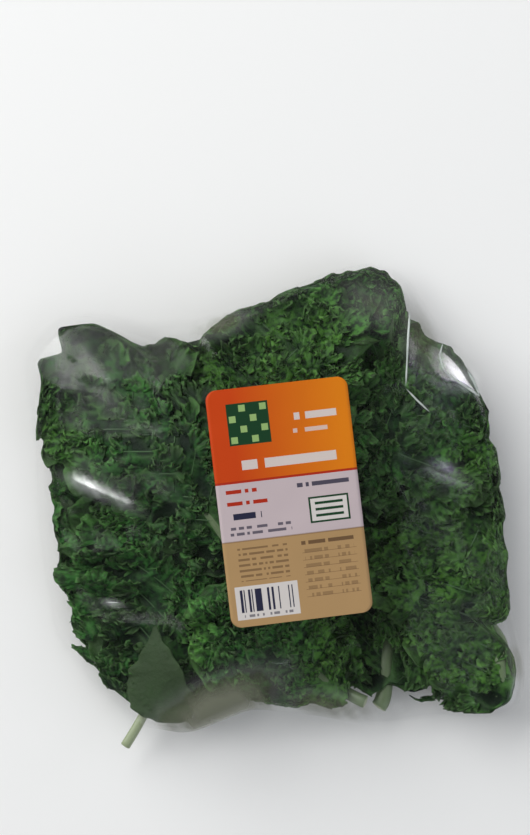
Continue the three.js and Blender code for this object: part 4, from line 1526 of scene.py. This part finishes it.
@dataclass(frozen=True)
class Bag:
    """The clear film bag, made over its plan and its front film."""

    plan: BagPlan
    front: FrontFilm

    RINGS = 44
    FILM = 0.16
    # Milky gathers, which also paint a grey sheen on the film: middle, half length, half width, turn in
    # degrees, strength.
    MILKY_AND_SHEEN_SPOTS = (
        (-14, 80, 10, 4, 12, 0.3), (-34, -83, 19, 9, 22, 1.3), (16, -86, 16, 5, -18, 0.3),
        (-80, 74, 5, 16, 12, 0.04), (72, 66, 7, 16, 10, 0.2), (-68, 66, 3, 12, 24, 0.07),
        (54, 82, 13, 9, -20, 0.12), (97, -78, 3, 14, 0, 0.2),
    )  # fmt: skip
    # Places where the film is doubled and mirrors more: as the gathers.
    DOUBLED = (
        (-75, 18.0, 10, 2.2, -30, 1.0), (-64, 11.4, 8, 1.8, -30, 0.7),
        (85.5, 50.0, 9, 5, -50, 0.55), (88.5, 47, 7, 4, -44, 1.0),
        (76, 7.5, 8, 3.2, -28, 0.3), (-72, -31, 3.2, 1.0, -6, 0.8),
    )  # fmt: skip
    # Low ridges where the film is drawn over a leaf: two ends, height, half width.
    RIDGES = (
        ((-86, 24.8), (-57, 7.6), 0.7, 4.6),
        ((68, 76), (62.6, 45.7), 0.8, 3.0),
        ((66, 12), (86, 0), 0.6, 4.0),
    )
    # A flat place where the film is pulled tight between three folds, and its rise.
    FACET = ((79.5, 61.5), (79.3, 50.3), (94, 37.8))
    FACET_RISE = 0.6
    # Sharp folds: corners of each line, and half its width. Their finish paints a pale highlight along
    # them.
    FOLDS = (
        (((68.1, 76.5), (66, 66), (62.6, 45.7)), 0.42),
        (((62.8, 44.5), (66.5, 39.5), (71.5, 33.8)), 0.38),
        (((81, 62.5), (78.6, 57), (79.6, 50.3)), 0.34),
        (((79.6, 50.3), (86, 44.6), (94, 37.9)), 0.5),
        (((94, 37.9), (92.4, 44), (90, 49.5)), 0.5),
        (((-74, -30.6), (-68.5, -31.4)), 0.3),
    )

    # How far the folds' middle stands over the film, the distance from point to point
    # along one, the faces round it and its height as a share of its width.
    FOLD_RISE, FOLD_STEP, FOLD_SIDES, FOLD_FLATNESS = 0.2, 1.5, 6, 0.5

    def build(self) -> Piece:
        """Builds front, back and side edges as one skin, open at the mouth.

        Returns:
            The bag, with attributes for its finish.
        """
        n = self.RINGS
        i, j = np.meshgrid(np.arange(-n, n + 1), np.arange(-n, n + 1))
        ring = np.maximum(np.abs(i), np.abs(j))
        angle = np.arctan2(j, i)
        share = np.sin(math.pi / 2 * ring / n)
        reach = share * self.plan.radius(angle)
        x, y = reach * np.cos(angle), reach * np.sin(angle)
        rim = ring == n
        top = np.where(rim, self.plan.front_edge(angle), self.surface(x, y))
        back = self.plan.back_height(x, y)
        skins = []
        for height, way in ((top, 1.0), (back, -1.0)):
            surface = np.stack([x, y, height], axis=2)
            normal = grid_normals(surface)
            normal *= -np.sign(normal[..., 2:3])
            moved = surface + way * self.FILM * normal
            shrink = 1 - self.FILM / np.maximum(np.hypot(surface[..., 0], surface[..., 1]), TINY)
            at_rim = surface * np.stack([shrink, shrink, np.ones_like(shrink)], axis=2)
            at_rim[..., 2] -= way * 0.5 * self.FILM
            skins += [surface, np.where(rim[..., None], at_rim, moved)]
        size = 2 * n + 1
        count = size * size
        flips = (True, False, False, True)
        quads = [grid_quads(size, size, k * count, flip) for k, flip in enumerate(flips)]
        # Where the film is milky, partly as a painted sheen, and where it is doubled.
        haze = self._spots(x, y, self.MILKY_AND_SHEEN_SPOTS).ravel()
        doubled = self._spots(x, y, self.DOUBLED).ravel()
        mouth = self.plan.mouth(angle).ravel() > 0
        a = rim_points(size, size)
        b = np.roll(a, -1)
        is_open = mouth[a] | mouth[b]
        # Front and back are joined along the rim, but at the mouth each has its own lip.
        bands = [(~is_open, a, b, 0, 2), (~is_open, b, a, 1, 3)]
        bands += [(is_open, a, b, 0, 1), (is_open, b, a, 2, 3)]
        for part, first, second, near, far in bands:
            one, two = first[part], second[part]
            near, far = near * count, far * count
            quads.append(np.stack([one + near, one + far, two + far, two + near], axis=1))
        before = np.roll(is_open, 1)
        for starts, cycle in ((is_open & ~before, (0, 2, 3, 1)), (~is_open & before, (0, 1, 3, 2))):
            at = a[starts]
            quads.append(np.stack([at + k * count for k in cycle], axis=1))
        flat = np.concatenate([s.reshape(-1, 3) for s in skins])
        none = np.zeros(2 * count)
        marks = {
            "haze": np.concatenate([haze, haze, none]),
            "doubled": np.concatenate([doubled, 0 * doubled, none]),
        }
        return write_mesh("bag_film", flat, np.concatenate(quads), None, marks)

    @staticmethod
    def _spots(x: Array, y: Array, spots: tuple[tuple[float, ...], ...]) -> Array:
        """How strongly places lie in some soft, streaky spots.

        Args:
            x: Plan X.
            y: Plan Y.
            spots: For each, its middle, half length, half width, turn in degrees and strength.

        Returns:
            Values from 0 to 1.
        """
        found = np.zeros_like(x)
        for cx, cy, long, wide, turn, strength in spots:
            a = math.radians(turn)
            along = (x - cx) * math.cos(a) + (y - cy) * math.sin(a)
            across = (y - cy) * math.cos(a) - (x - cx) * math.sin(a)
            found = np.maximum(found, strength * np.exp(-((along / long) ** 2) - (across / wide) ** 2))
        streaks = lattice_noise(x / 3.1 + 0.5 * y / 3.1, y / 11, 83)
        return np.clip(found * (1 + 0.5 * streaks), 0, 1)

    def folds(self, material: Finish) -> Piece:
        """Builds the sharp folds of the film as thin raised lines on it, with a painted highlight.

        Args:
            material: The folds' finish.

        Returns:
            One mesh with all the folds.
        """
        points, edges, radii = [], [], []
        for line, radius in self.FOLDS:
            corners = np.array(line, float)
            far = np.concatenate([[0], np.cumsum(np.hypot(*np.diff(corners, axis=0).T))])
            steps = max(4, int(far[-1] / self.FOLD_STEP))
            at = np.linspace(0, far[-1], steps)
            x, y = np.interp(at, far, corners[:, 0]), np.interp(at, far, corners[:, 1])
            z = self.surface(x, y) + self.FOLD_RISE
            base = sum(len(p) for p in points)
            points.append(np.stack([x, y, z], axis=1))
            edges += [(base + k, base + k + 1) for k in range(steps - 1)]
            ends = smooth_step(np.minimum(at, far[-1] - at) / 5 + 0.25)
            radii.append(radius * ends * (1 + 0.25 * lattice_noise(at / 4, at * 0, 88)))
        lines = np.concatenate(points), edges, np.concatenate(radii)
        return swept_lines("bag_folds", *lines, self.FOLD_SIDES, material, self.FOLD_FLATNESS)

    def surface(self, x: Array, y: Array) -> Array:
        """Height of the front film with its creases and its flat facet.

        Args:
            x: Plan X.
            y: Plan Y.

        Returns:
            One height for each place.
        """
        loose = self.front.height(x, y) + self._creases(x, y, self.plan.share(x, y))
        corners = np.array(self.FACET, float)
        ends = self.front.height(corners[:, 0], corners[:, 1]) + self.FACET_RISE
        lean_x, lean_y, base = np.linalg.solve(np.column_stack([corners, np.ones(3)]), ends)
        depth = np.full_like(loose, np.inf)
        for (ax, ay), (bx, by) in zip(corners, np.roll(corners, -1, axis=0)):
            within = ((bx - ax) * (y - ay) - (by - ay) * (x - ax)) / math.hypot(bx - ax, by - ay)
            depth = np.minimum(depth, within)
        inside = smooth_step((depth + 0.8) / 1.6)
        return loose * (1 - inside) + (lean_x * x + lean_y * y + base) * inside

    def _creases(self, x: Array, y: Array, share: Array) -> Array:
        """Small folds of the front film, none under the label or at the edge.

        Args:
            x: Plan X.
            y: Plan Y.
            share: Share of the way from the middle to the edge.

        Returns:
            How far the folds stand up at each place.
        """
        ridged = 1 - np.abs(lattice_noise(x / 17 + 0.4 * y / 17, y / 26, 71)) * 2
        fine = 1 - np.abs(lattice_noise(x / 6 + 5, y / 9 - 0.3 * x / 9, 72)) * 2
        relief = 1.0 * np.clip(ridged, 0, 1) ** 3 + 0.35 * np.clip(fine, 0, 1) ** 3
        for (ax, ay), (bx, by), height, width in self.RIDGES:
            long = math.hypot(bx - ax, by - ay)
            cx, cy = (bx - ax) / long, (by - ay) / long
            along, across = (x - ax) * cx + (y - ay) * cy, (y - ay) * cx - (x - ax) * cy
            ends = smooth_step(along / 6 + 0.5) * smooth_step((long - along) / 6 + 0.5)
            near = np.exp(-((across / width) ** 2)) * ends
            calm = np.exp(-((across / (2.5 * width)) ** 2)) * ends
            relief = relief * (1 - calm) + height * near
        label = self.front.label
        away_x = np.abs(x - label.x) - label.width / 2
        away_y = np.abs(y - label.y) - label.height / 2
        clear = smooth_step((np.maximum(away_x, away_y) - 2) / 12)
        return relief * clear * (1 - smooth_step((share - 0.86) / 0.12))


@dataclass(frozen=True)
class Label:
    """The paper label on the front of the bag, and the film that it lies on."""

    sizes: LabelSizes
    front: FrontFilm

    CORNER_ROWS = 10
    MIDDLE_ROWS = 48
    COLUMNS = 42
    # Its middle sheet lies this far over the gap that the solid leaves.
    RISE = 0.3

    def build(self) -> Piece:
        """Builds the label as a thin sheet with round corners, slightly wavy.

        Returns:
            The label, with its UV map over its whole face.
        """
        s = self.sizes
        bend = np.sin(np.linspace(0, math.pi / 2, self.CORNER_ROWS))
        upper = s.height / 2 - s.corner + s.corner * bend
        middle = np.linspace(-upper[0], upper[0], self.MIDDLE_ROWS)[1:-1]
        levels = np.concatenate([-upper[::-1], middle, upper])
        y, u = np.meshgrid(levels, np.linspace(-1, 1, self.COLUMNS), indexing="ij")
        depth = np.maximum(0, np.abs(y) - (s.height / 2 - s.corner))
        half = s.width / 2 - s.corner + np.sqrt(np.maximum(0, s.corner**2 - depth**2))
        x = u * half
        plan_x, plan_y = x + s.x, y + s.y
        wave = 0.35 * lattice_noise(plan_x / 21, plan_y / 27, 91)
        wave += 0.12 * lattice_noise(plan_x / 7, plan_y / 8, 92)
        z = self.front.plane(plan_x, plan_y) + s.gap + self.RISE + wave
        points = np.stack([plan_x, plan_y, z], axis=2)
        flat, quads = closed_skin(points, s.paper)
        shares = x / s.width + 0.5, y / s.height + 0.5
        uv = np.stack([np.tile(share.ravel(), 2) for share in shares], axis=1)
        return write_mesh("label_paper", flat, quads, uv)


# --- Finishes ---


def new_material(name: str) -> tuple[Finish, Tree, Node]:
    """Makes a material with an empty Principled shader.

    Args:
        name: The finish's name.

    Returns:
        The material, its node tree and the shader node.
    """
    made = bpy.data.materials.new(name)
    made.use_nodes = True
    tree = made.node_tree
    tree.nodes.clear()
    shader = add_node(tree, "ShaderNodeBsdfPrincipled")
    add_node(tree, "ShaderNodeOutputMaterial", inputs={"Surface": shader.outputs["BSDF"]})
    return made, tree, shader


@dataclass(frozen=True)
class BladeFinish:
    """Curly kale blade: waxy dark green above, paler veins, bluish below, with painted shade in low
    places and hollows, painted light on crests and a painted highlight along the edges.
    """

    # deep is the painted shade and fresh the painted light of the blade; edge is a painted highlight.
    deep: str = "#071a0b"
    fresh: str = "#37732f"
    warm: str = "#587f2a"
    edge: str = "#678f52"
    vein: str = "#5f8850"
    under: str = "#36472e"

    def build(self) -> Finish:
        """Builds the material from the blade's own attributes.

        Returns:
            The finished material.
        """
        made, tree, shader = new_material("kale_blade_waxy")
        place = object_place(tree)
        # Painted light and shade: raised parts are lighter and low ones darker, by the crest mark, which
        # also holds each leaf's random tone.
        high = remap(tree, mark(tree, "crest"), (-2.4, 4.6))
        patches = reckon(tree, "MULTIPLY_ADD", noise(tree, place, 42.0, 6.0), 2.3, -1.2)
        # The blade puckers between its smallest veins, about every 2.5 mm: the noise gives its bump and a
        # painted shade in its hollows.
        puckers = noise(tree, place, 420.0, 2.0)
        painted_pucker_shade = remap(tree, puckers, (0.4, 0.6), (0.05, 1.15))
        painted_light_and_patches = reckon(tree, "MULTIPLY", reckon(tree, "ADD", high, patches, clamp=True), painted_pucker_shade)
        # Whole parts of a leaf are yellower than others, about every 60 mm, shown on the painted light of
        # the crests.
        aged = remap(tree, noise(tree, place, 17.0, 1.0), (0.45, 0.65))
        yellowing_on_painted_light = reckon(tree, "MULTIPLY", aged, painted_light_and_patches)
        colour: object = self.deep
        for amount, share, shade in (
            (painted_light_and_patches, 1.0, self.fresh),
            (yellowing_on_painted_light, 0.6, self.warm),
            # A painted highlight along the margins.
            (mark(tree, "edge"), 0.34, self.edge),
            (mark(tree, "vein"), 0.5, self.vein),
            (mark(tree, "under"), 0.85, self.under),
        ):
            colour = mixed(tree, reckon(tree, "MULTIPLY", amount, share), colour, shade)
        emboss(tree, shader, puckers, 0.75, 0.9)
        feed(tree, shader, {"Base Color": colour, "Roughness": 0.55, "Specular IOR Level": 0.12})
        return made


@dataclass(frozen=True)
class StemFinish:
    """Kale stem: pale green with fine fibres, darker along the midrib."""

    pale: str = "#a3ab8c"
    midrib: str = "#34532d"
    cut: str = "#b4b89c"
    streak: str = "#55703f"
    # Fibres round the stem, and their stretch along it.
    fibres: tuple[float, float, float] = (12.0, 5.0, 0.0)

    def build(self) -> Finish:
        """Builds the material from the stem's attributes.

        Returns:
            The finished material.
        """
        made, tree, shader = new_material("kale_stem_fibrous")
        green = mixed(tree, mark(tree, "midrib"), self.pale, self.midrib)
        ended = mixed(tree, mark(tree, "cut"), green, self.cut)
        uv = add_node(tree, "ShaderNodeUVMap", {"uv_map": "UVMap"}).outputs["UV"]
        drawn_out = {0: uv, 1: self.fibres}
        stretched = add_node(tree, "ShaderNodeVectorMath", {"operation": "MULTIPLY"}, drawn_out)
        fibres = noise(tree, stretched.outputs[0], 1.0, 4.0)
        streaked = mixed(tree, remap(tree, fibres, new=(0.0, 0.7)), ended, self.streak)
        emboss(tree, shader, fibres, 0.4, 0.3)
        feed(tree, shader, {"Base Color": streaked, "Roughness": 0.42})
        return made


@dataclass(frozen=True)
class VeinFinish:
    """Side vein of a kale leaf: a little paler than the blade and smooth."""

    green: str = "#416a37"
    dark: str = "#27451f"

    def build(self) -> Finish:
        """Builds the material, a little uneven in tone.

        Returns:
            The finished material.
        """
        made, tree, shader = new_material("kale_vein_smooth")
        patches = noise(tree, object_place(tree), 90.0, 3.0)
        colour = mixed(tree, patches, self.dark, self.green)
        feed(tree, shader, {"Base Color": colour, "Roughness": 0.5})
        return made


@dataclass(frozen=True)
class FilmFinish:
    """Clear polypropylene film: glossy, and milky where it lies in gathers, which also paint a grey sheen
    on it.

    least and most bound how much the bare film covers, and rim is how fast that
    grows where the film is seen aslant. pressed and covered are what the doubled
    and the milky places cover, and onset is how soon a gather turns milky.
    """

    clear: str = "#f4f6f5"
    milky: str = "#7b7e6b"
    refraction: float = 1.45
    least: float = 0.002
    most: float = 0.02
    rim: float = 0.11
    pressed: float = 0.7
    covered: float = 0.85
    onset: float = 6.0

    def build(self) -> Finish:
        """Builds a see-through material whose gloss grows towards the edges.

        Returns:
            The finished material.
        """
        made, tree, shader = new_material("polypropylene_film_clear")
        # The milky places are partly a painted sheen.
        haze = mark(tree, "haze")
        facing = add_node(tree, "ShaderNodeFresnel", inputs={"IOR": self.refraction}).outputs[0]
        gloss = reckon(tree, "MULTIPLY_ADD", facing, self.rim, self.least)
        thin = reckon(tree, "MINIMUM", gloss, self.most)
        bare = reckon(tree, "MULTIPLY_ADD", mark(tree, "doubled"), self.pressed, thin)
        alpha = reckon(tree, "MULTIPLY_ADD", haze, self.covered, bare, clamp=True)
        tone = reckon(tree, "MULTIPLY", haze, self.onset, clamp=True)
        metal = reckon(tree, "SUBTRACT", 1.0, tone, clamp=True)
        colour = mixed(tree, tone, self.clear, self.milky)
        feed(tree, shader, {"Alpha": alpha, "Base Color": colour, "Metallic": metal, "Roughness": 0.12})
        return made


@dataclass(frozen=True)
class FoldFinish:
    """Sharp fold of the film, with a pale painted highlight along it."""

    painted_highlight_white: str = "#c9d2cc"

    def build(self) -> Finish:
        """Builds a pale half-clear painted highlight that comes and goes along the fold.

        Returns:
            The finished material.
        """
        made, tree, shader = new_material("polypropylene_fold_white")
        alpha = remap(tree, noise(tree, object_place(tree), 160.0, 2.0), (0.3, 0.6), (0.35, 0.9))
        feed(tree, shader, {"Alpha": alpha, "Base Color": linear(self.painted_highlight_white), "Roughness": 0.2})
        return made


class Ink(Enum):
    """The label's inks."""

    PANEL = "#ab8a5e"
    BAND = "#bfb0b2"
    LEFT = "#c23f04"
    RIGHT = "#d87a05"
    GREEN = "#0f3a1e"
    LEAF = "#8fae6a"
    WHITE = "#cfc9c4"
    RED = "#a8280c"
    BROWN = "#6b5136"
    DARK = "#23243c"


@dataclass(frozen=True)
class Patch:
    """One printed patch of the label, whole or broken into rows and blocks.

    Attributes:
        box: Its left, right, lower and upper edge.
        ink: Its ink.
        strength: How much the ink covers.
        block: Length of the shortest block, 0 where it isn't broken into blocks.
        share: Share of the blocks that is printed.
        pitch: Distance from row to row, 0 where it has no rows.
        line: Share of the pitch that a row fills.
    """

    box: tuple[float, float, float, float]
    ink: Ink
    strength: float = 1.0
    block: float = 0.0
    share: float = 1.0
    pitch: float = 0.0
    line: float = 1.0


class Print:
    """Inks laid one over another on a flat sheet, placed in millimetres."""

    # A row so high that a whole block of print lies in it.
    ONE_ROW = 50.0

    def __init__(self, tree: Tree, width: float, height: float, paper: str) -> None:
        """Reads the sheet's UV map as millimetres from its lower left corner.

        Args:
            tree: The material's node tree.
            width: The sheet's width.
            height: The sheet's height.
            paper: Colour of the bare sheet.
        """
        self.tree = tree
        uv = add_node(tree, "ShaderNodeUVMap", {"uv_map": "UVMap"}).outputs["UV"]
        extent = {0: uv, 1: (width, height, 0.0)}
        sized = add_node(tree, "ShaderNodeVectorMath", {"operation": "MULTIPLY"}, extent)
        self.place = sized.outputs[0]
        split = add_node(tree, "ShaderNodeSeparateXYZ", inputs={0: self.place})
        self.x, self.y = split.outputs["X"], split.outputs["Y"]
        self.colour: object = linear(paper)

    def math(self, operation: str, a: object, b: object = 0.0, c: object = 0.0) -> Socket:
        """Adds one sum and gives its result."""
        return reckon(self.tree, operation, a, b, c)

    def box(self, left: float, right: float, low: float, high: float) -> Socket:
        """Covers an upright rectangle.

        Args:
            left: Its left edge.
            right: Its right edge.
            low: Its lower edge.
            high: Its upper edge.

        Returns:
            A mask that is 1 in the rectangle.
        """
        across = self.math("COMPARE", self.x, (left + right) / 2, (right - left) / 2)
        up = self.math("COMPARE", self.y, (low + high) / 2, (high - low) / 2)
        return self.math("MULTIPLY", across, up)

    def blocks(self, mask: Socket, length: float, share: float, row: float) -> Socket:
        """Breaks a mask into short blocks with gaps, different in each row.

        Args:
            mask: The mask to break up.
            length: Length of the shortest block.
            share: Share that stays covered.
            row: Height of a row.

        Returns:
            The broken mask.
        """
        column = self.math("FLOOR", self.math("DIVIDE", self.x, length))
        line = self.math("FLOOR", self.math("DIVIDE", self.y, row))
        cell = add_node(self.tree, "ShaderNodeCombineXYZ", inputs={0: column, 1: line, 2: length * 7.3})
        settings = {"noise_dimensions": "3D"}
        chance = add_node(self.tree, "ShaderNodeTexWhiteNoise", settings, {"Vector": cell.outputs[0]})
        return self.math("MULTIPLY", mask, self.math("LESS_THAN", chance.outputs["Value"], share))

    def rows(self, mask: Socket, pitch: float, share: float) -> Socket:
        """Cuts a mask into level rows."""
        part = self.math("FRACT", self.math("DIVIDE", self.y, pitch))
        return self.math("MULTIPLY", mask, self.math("LESS_THAN", part, share))

    def lay(self, patch: Patch) -> None:
        """Prints one patch over what is there.

        Args:
            patch: The patch.
        """
        mask = self.box(*patch.box)
        if patch.pitch:
            mask = self.rows(mask, patch.pitch, patch.line)
        if patch.block:
            mask = self.blocks(mask, patch.block, patch.share, patch.pitch or self.ONE_ROW)
        self.ink(mask, patch.ink.value, patch.strength)

    def ink(self, mask: Socket, colour: object, strength: float = 1.0) -> None:
        """Prints a colour through a mask over what is there."""
        amount = self.math("MULTIPLY", mask, strength) if strength < 1 else mask
        self.colour = mixed(self.tree, amount, self.colour, colour)


@dataclass(frozen=True)
class PaperFinish:
    """Coated label paper: warm header, pale band and tan panel with plain blocks."""

    width: float
    height: float

    # Where the header begins, and where its colour starts and ends turning.
    HEADER = (-1, 61, 61, 101)
    TURN = (10.0, 56.0)
    # The header's badge of checks: left and lower edge, a check's side and margin.
    BADGE = (8.0, 76.0, 4.4, 0.8)
    CHECKS = 4
    PATCHES = (
        # Pale blocks beside the badge and under it.
        Patch((35, 54, 84, 87), Ink.WHITE, 0.9, 2.4, 0.8),
        Patch((35, 50, 78.6, 80.4), Ink.WHITE, 0.7, 1.6, 0.8),
        Patch((12, 52, 65.5, 69.5), Ink.WHITE, 0.9, 3.1, 0.86),
        # The pale band's rows and its plain ruled box.
        Patch((4, 17, 56, 57.6), Ink.RED, 1.0, 1.5, 0.85),
        Patch((4, 21, 51, 52.6), Ink.RED, 1.0, 1.5, 0.85),
        Patch((6, 18, 45, 47.6), Ink.DARK, 1.0, 2.2, 0.9),
        Patch((4, 30, 38, 43), Ink.DARK, 0.8, 1.1, 0.75, 2.4, 0.5),
        Patch((34, 56, 55.6, 57.4), Ink.DARK, 0.9, 1.3, 0.85),
        Patch((38, 55, 40, 51), Ink.GREEN),
        Patch((38.8, 54.2, 40.8, 50.2), Ink.WHITE),
        Patch((40.6, 52.4, 42.4, 43.5), Ink.GREEN),
        Patch((40.6, 52.4, 45.0, 46.1), Ink.GREEN),
        Patch((40.6, 52.4, 47.6, 48.7), Ink.GREEN),
        # The tan panel's rows, its ruled table and its plain bars.
        Patch((6, 27, 19, 33), Ink.BROWN, 0.75, 0.9, 0.72, 2.3, 0.42),
        Patch((33, 56, 31.4, 33), Ink.BROWN, 1.0, 1.2, 0.85),
        Patch((33, 56, 8, 30), Ink.BROWN, 0.6, pitch=3.1, line=0.08),
        Patch((34, 44, 8, 30), Ink.BROWN, 0.5, 0.9, 0.7, 3.1, 0.5),
        Patch((48, 55, 8, 30), Ink.BROWN, 0.5, 0.9, 0.6, 3.1, 0.5),
        Patch((3, 29.5, 3, 17), Ink.WHITE),
        Patch((5, 27.5, 6, 15.5), Ink.DARK, 1.0, 0.47, 0.5),
        Patch((6, 26.5, 3.9, 5), Ink.DARK, 0.7, 0.8, 0.6),
    )

    def build(self) -> Finish:
        """Builds the print from the label's UV map.

        Returns:
            The finished material.
        """
        made, tree, shader = new_material("coated_paper_printed")
        sheet = Print(tree, self.width, self.height, Ink.PANEL.value)
        warm = mixed(tree, remap(tree, sheet.x, self.TURN), Ink.LEFT.value, Ink.RIGHT.value)
        sheet.lay(Patch((-1, 61, 36, 61.5), Ink.BAND))
        sheet.ink(sheet.box(*self.HEADER), warm)
        sheet.lay(Patch((-1, 61, 60.2, 61.2), Ink.RED))
        sheet.lay(Patch((-1, 61, 35.6, 36.3), Ink.BROWN, 0.5))
        self._badge(sheet)
        for patch in self.PATCHES:
            sheet.lay(patch)
        gloss = remap(tree, noise(tree, sheet.place, 1.6, 3.0), new=(0.45, 0.6))
        feed(tree, shader, {"Base Color": sheet.colour, "Roughness": gloss, "Specular IOR Level": 0.2})
        return made

    def _badge(self, sheet: Print) -> None:
        """Prints a plain badge of checks.

        Args:
            sheet: The label's print.
        """
        left, low, side, margin = self.BADGE
        whole = self.CHECKS * side
        sheet.lay(Patch((left, left + whole, low, low + whole), Ink.GREEN))
        for column in range(self.CHECKS):
            for row in range(column % 2, self.CHECKS, 2):
                x, y = left + column * side, low + row * side
                check = (x + margin, x + side - margin, y + margin, y + side - margin)
                sheet.lay(Patch(check, Ink.LEAF))


# --- The studio ---


@dataclass(frozen=True)
class Lamp:
    """One soft area light: its sides in metres, its power in watts and a hex colour."""

    name: str
    size: tuple[float, float]
    power: float
    colour: str


@dataclass(frozen=True)
class Studio:
    """Floor, lights and camera. The camera looks straight down at the bag."""

    roll: float = 6.6
    distance: float = 1.5
    mm_per_pixel: float = 0.43
    frame_pixels: tuple[int, int] = (530, 835)
    origin_pixel: tuple[float, float] = (271.0, 509.0)
    plane_height: float = 17.0
    glint_distance: float = 1.1
    floor_side: float = 8000.0
    floor_drop: float = 0.3
    world_strength: float = 0.41
    # How far from a spot the film's slope is measured there, in millimetres.
    slope_reach: float = 1.5

    def camera(self) -> None:
        """Makes the camera and puts the bag where the frame wants it."""
        data = bpy.data.cameras.new("camera")
        made = bpy.data.objects.new("camera", data)
        bpy.context.scene.collection.objects.link(made)
        wide, tall = self.frame_pixels
        data.sensor_width = 36.0
        data.lens = data.sensor_width * self.distance / (tall * self.mm_per_pixel * MM)
        a = math.radians(self.roll)
        right, up = Vector((math.cos(a), -math.sin(a), 0)), Vector((math.sin(a), math.cos(a), 0))
        dx = (wide / 2 - self.origin_pixel[0]) * self.mm_per_pixel * MM
        dy = (self.origin_pixel[1] - tall / 2) * self.mm_per_pixel * MM
        made.location = right * dx + up * dy + Vector((0, 0, self.plane_height * MM + self.distance))
        made.rotation_euler = (0.0, 0.0, -a)
        data.clip_start, data.clip_end = 0.05, 20.0
        bpy.context.scene.camera = made

    def light(self, lamp: Lamp, place: Vector) -> None:
        """Makes one soft area light that looks at the bunch.

        Args:
            lamp: The light.
            place: Where it stands, in metres.
        """
        data = bpy.data.lights.new(lamp.name, "AREA")
        data.shape, data.size, data.size_y = "RECTANGLE", *lamp.size
        data.energy = lamp.power
        data.color = linear(lamp.colour)[:3]
        made = bpy.data.objects.new(lamp.name, data)
        made.location = place
        made.rotation_mode = "QUATERNION"
        made.rotation_quaternion = (Vector((0, 0, 0.03)) - place).to_track_quat("-Z", "Y")
        bpy.context.scene.collection.objects.link(made)

    def glint(self, lamp: Lamp, bag: Bag, spot: tuple[float, float]) -> None:
        """Hangs a soft light where the film mirrors it upwards at one spot.

        Args:
            lamp: The light.
            bag: The bag, for the film's height and slope.
            spot: Plan place of the spot in millimetres.
        """
        reach = self.slope_reach
        x, y = np.array([0.0, reach, 0.0]) + spot[0], np.array([0.0, 0.0, reach]) + spot[1]
        z = bag.surface(x, y)
        low = bag.surface(2 * spot[0] - x, 2 * spot[1] - y)
        normal = Vector(((low[1] - z[1]) / (2 * reach), (low[2] - z[2]) / (2 * reach), 1.0)).normalized()
        here = Vector((spot[0] * MM, spot[1] * MM, float(z[0]) * MM))
        eye = (bpy.context.scene.camera.location - here).normalized()
        mirrored = 2 * normal.dot(eye) * normal - eye
        self.light(lamp, here + mirrored * self.glint_distance)

    def floor(self) -> None:
        """Makes the plain pale floor."""
        half, drop = self.floor_side / 2, self.floor_drop
        corners = ((-half, -half), (half, -half), (half, half), (-half, half))
        points = np.array([[x, y, -drop] for x, y in corners])
        made = write_mesh("floor", points, np.array([[0, 1, 2, 3]]))
        material, tree, shader = new_material("matt_paint_white")
        feed(tree, shader, {"Base Color": linear("#f2f2f0"), "Roughness": 0.9})
        made.data.materials.append(material)

    def build(self, bag: Bag) -> None:
        """Sets up everything round the bunch.

        Args:
            bag: The bag that the small lights glint on.
        """
        self.camera()
        self.floor()
        self.light(Lamp("key", (2.2, 1.7), 38.0, "#ffffff"), Vector((-1.0, 1.2, 1.1)))
        self.light(Lamp("fill", (1.8, 1.4), 9.0, "#eef3ff"), Vector((1.5, -1.0, 1.2)))
        self.glint(Lamp("streak_light", (0.34, 0.24), 0.6528, "#ffffff"), bag, (-73.0, 20.3))
        self.glint(Lamp("corner_light", (0.3, 0.3), 0.72, "#fbf6ff"), bag, (86.0, 49.0))
        self.glint(Lamp("sheen_light", (0.2, 0.14), 0.07, "#c8b6f2"), bag, (76.0, 8.0))
        world = bpy.data.worlds.new("studio")
        world.use_nodes = True
        sky = {"Color": linear("#f4f6f8"), "Strength": self.world_strength}
        feed(world.node_tree, world.node_tree.nodes["Background"], sky)
        scene = bpy.context.scene
        scene.world = world
        scene.view_settings.view_transform = "Standard"
        scene.cycles.use_denoising = True


# --- Putting it together ---


def place(piece: Piece, material: Finish | None, node: str, slot: str) -> None:
    """Gives a piece its body and a material if it has none, and hides the solid that it stands for.

    Args:
        piece: The piece.
        material: Its finish, none where it has one.
        node: The solid that it stands for.
        slot: The record's material slot, not used.
    """
    if material is not None:
        piece.data.materials.append(material)
    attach(piece, BODY)
    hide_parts(node)
    LOG.info("%s: %d faces, stands for %s", piece.name, len(piece.data.polygons), node)


def main() -> None:
    """Builds the whole scene."""
    logging.basicConfig(level=logging.INFO, format="%(name)s %(message)s")
    plan = BagPlan(BagSizes())
    sheets, top = lay_bunch(plan)
    label_sizes = LabelSizes()
    front = FrontFilm(plan, label_sizes, top)
    room, lobes = LeafRoom(plan, front), Lobes()
    blade, stem, vein = (finish().build() for finish in (BladeFinish, StemFinish, VeinFinish))
    for leaf, sheet in zip(LEAVES, sheets):
        maker = LeafMaker(room, lobes, leaf, sheet)
        place(maker.blade(), blade, f"{leaf.name}_blade", "kale_blade")
        place(maker.stem(), stem, f"{leaf.name}_stem", "kale_stem")
        if leaf.lively:
            place(maker.veins(vein), None, f"{leaf.name}_stem", "kale_stem")
    bag = Bag(plan, front)
    Studio().build(bag)
    place(bag.build(), FilmFinish().build(), "bag", "clear_film")
    place(bag.folds(FoldFinish().build()), None, "bag", "clear_film")
    paper = PaperFinish(label_sizes.width, label_sizes.height).build()
    place(Label(label_sizes, front).build(), paper, "label", "label_paper")


if __name__ == "__main__":
    main()
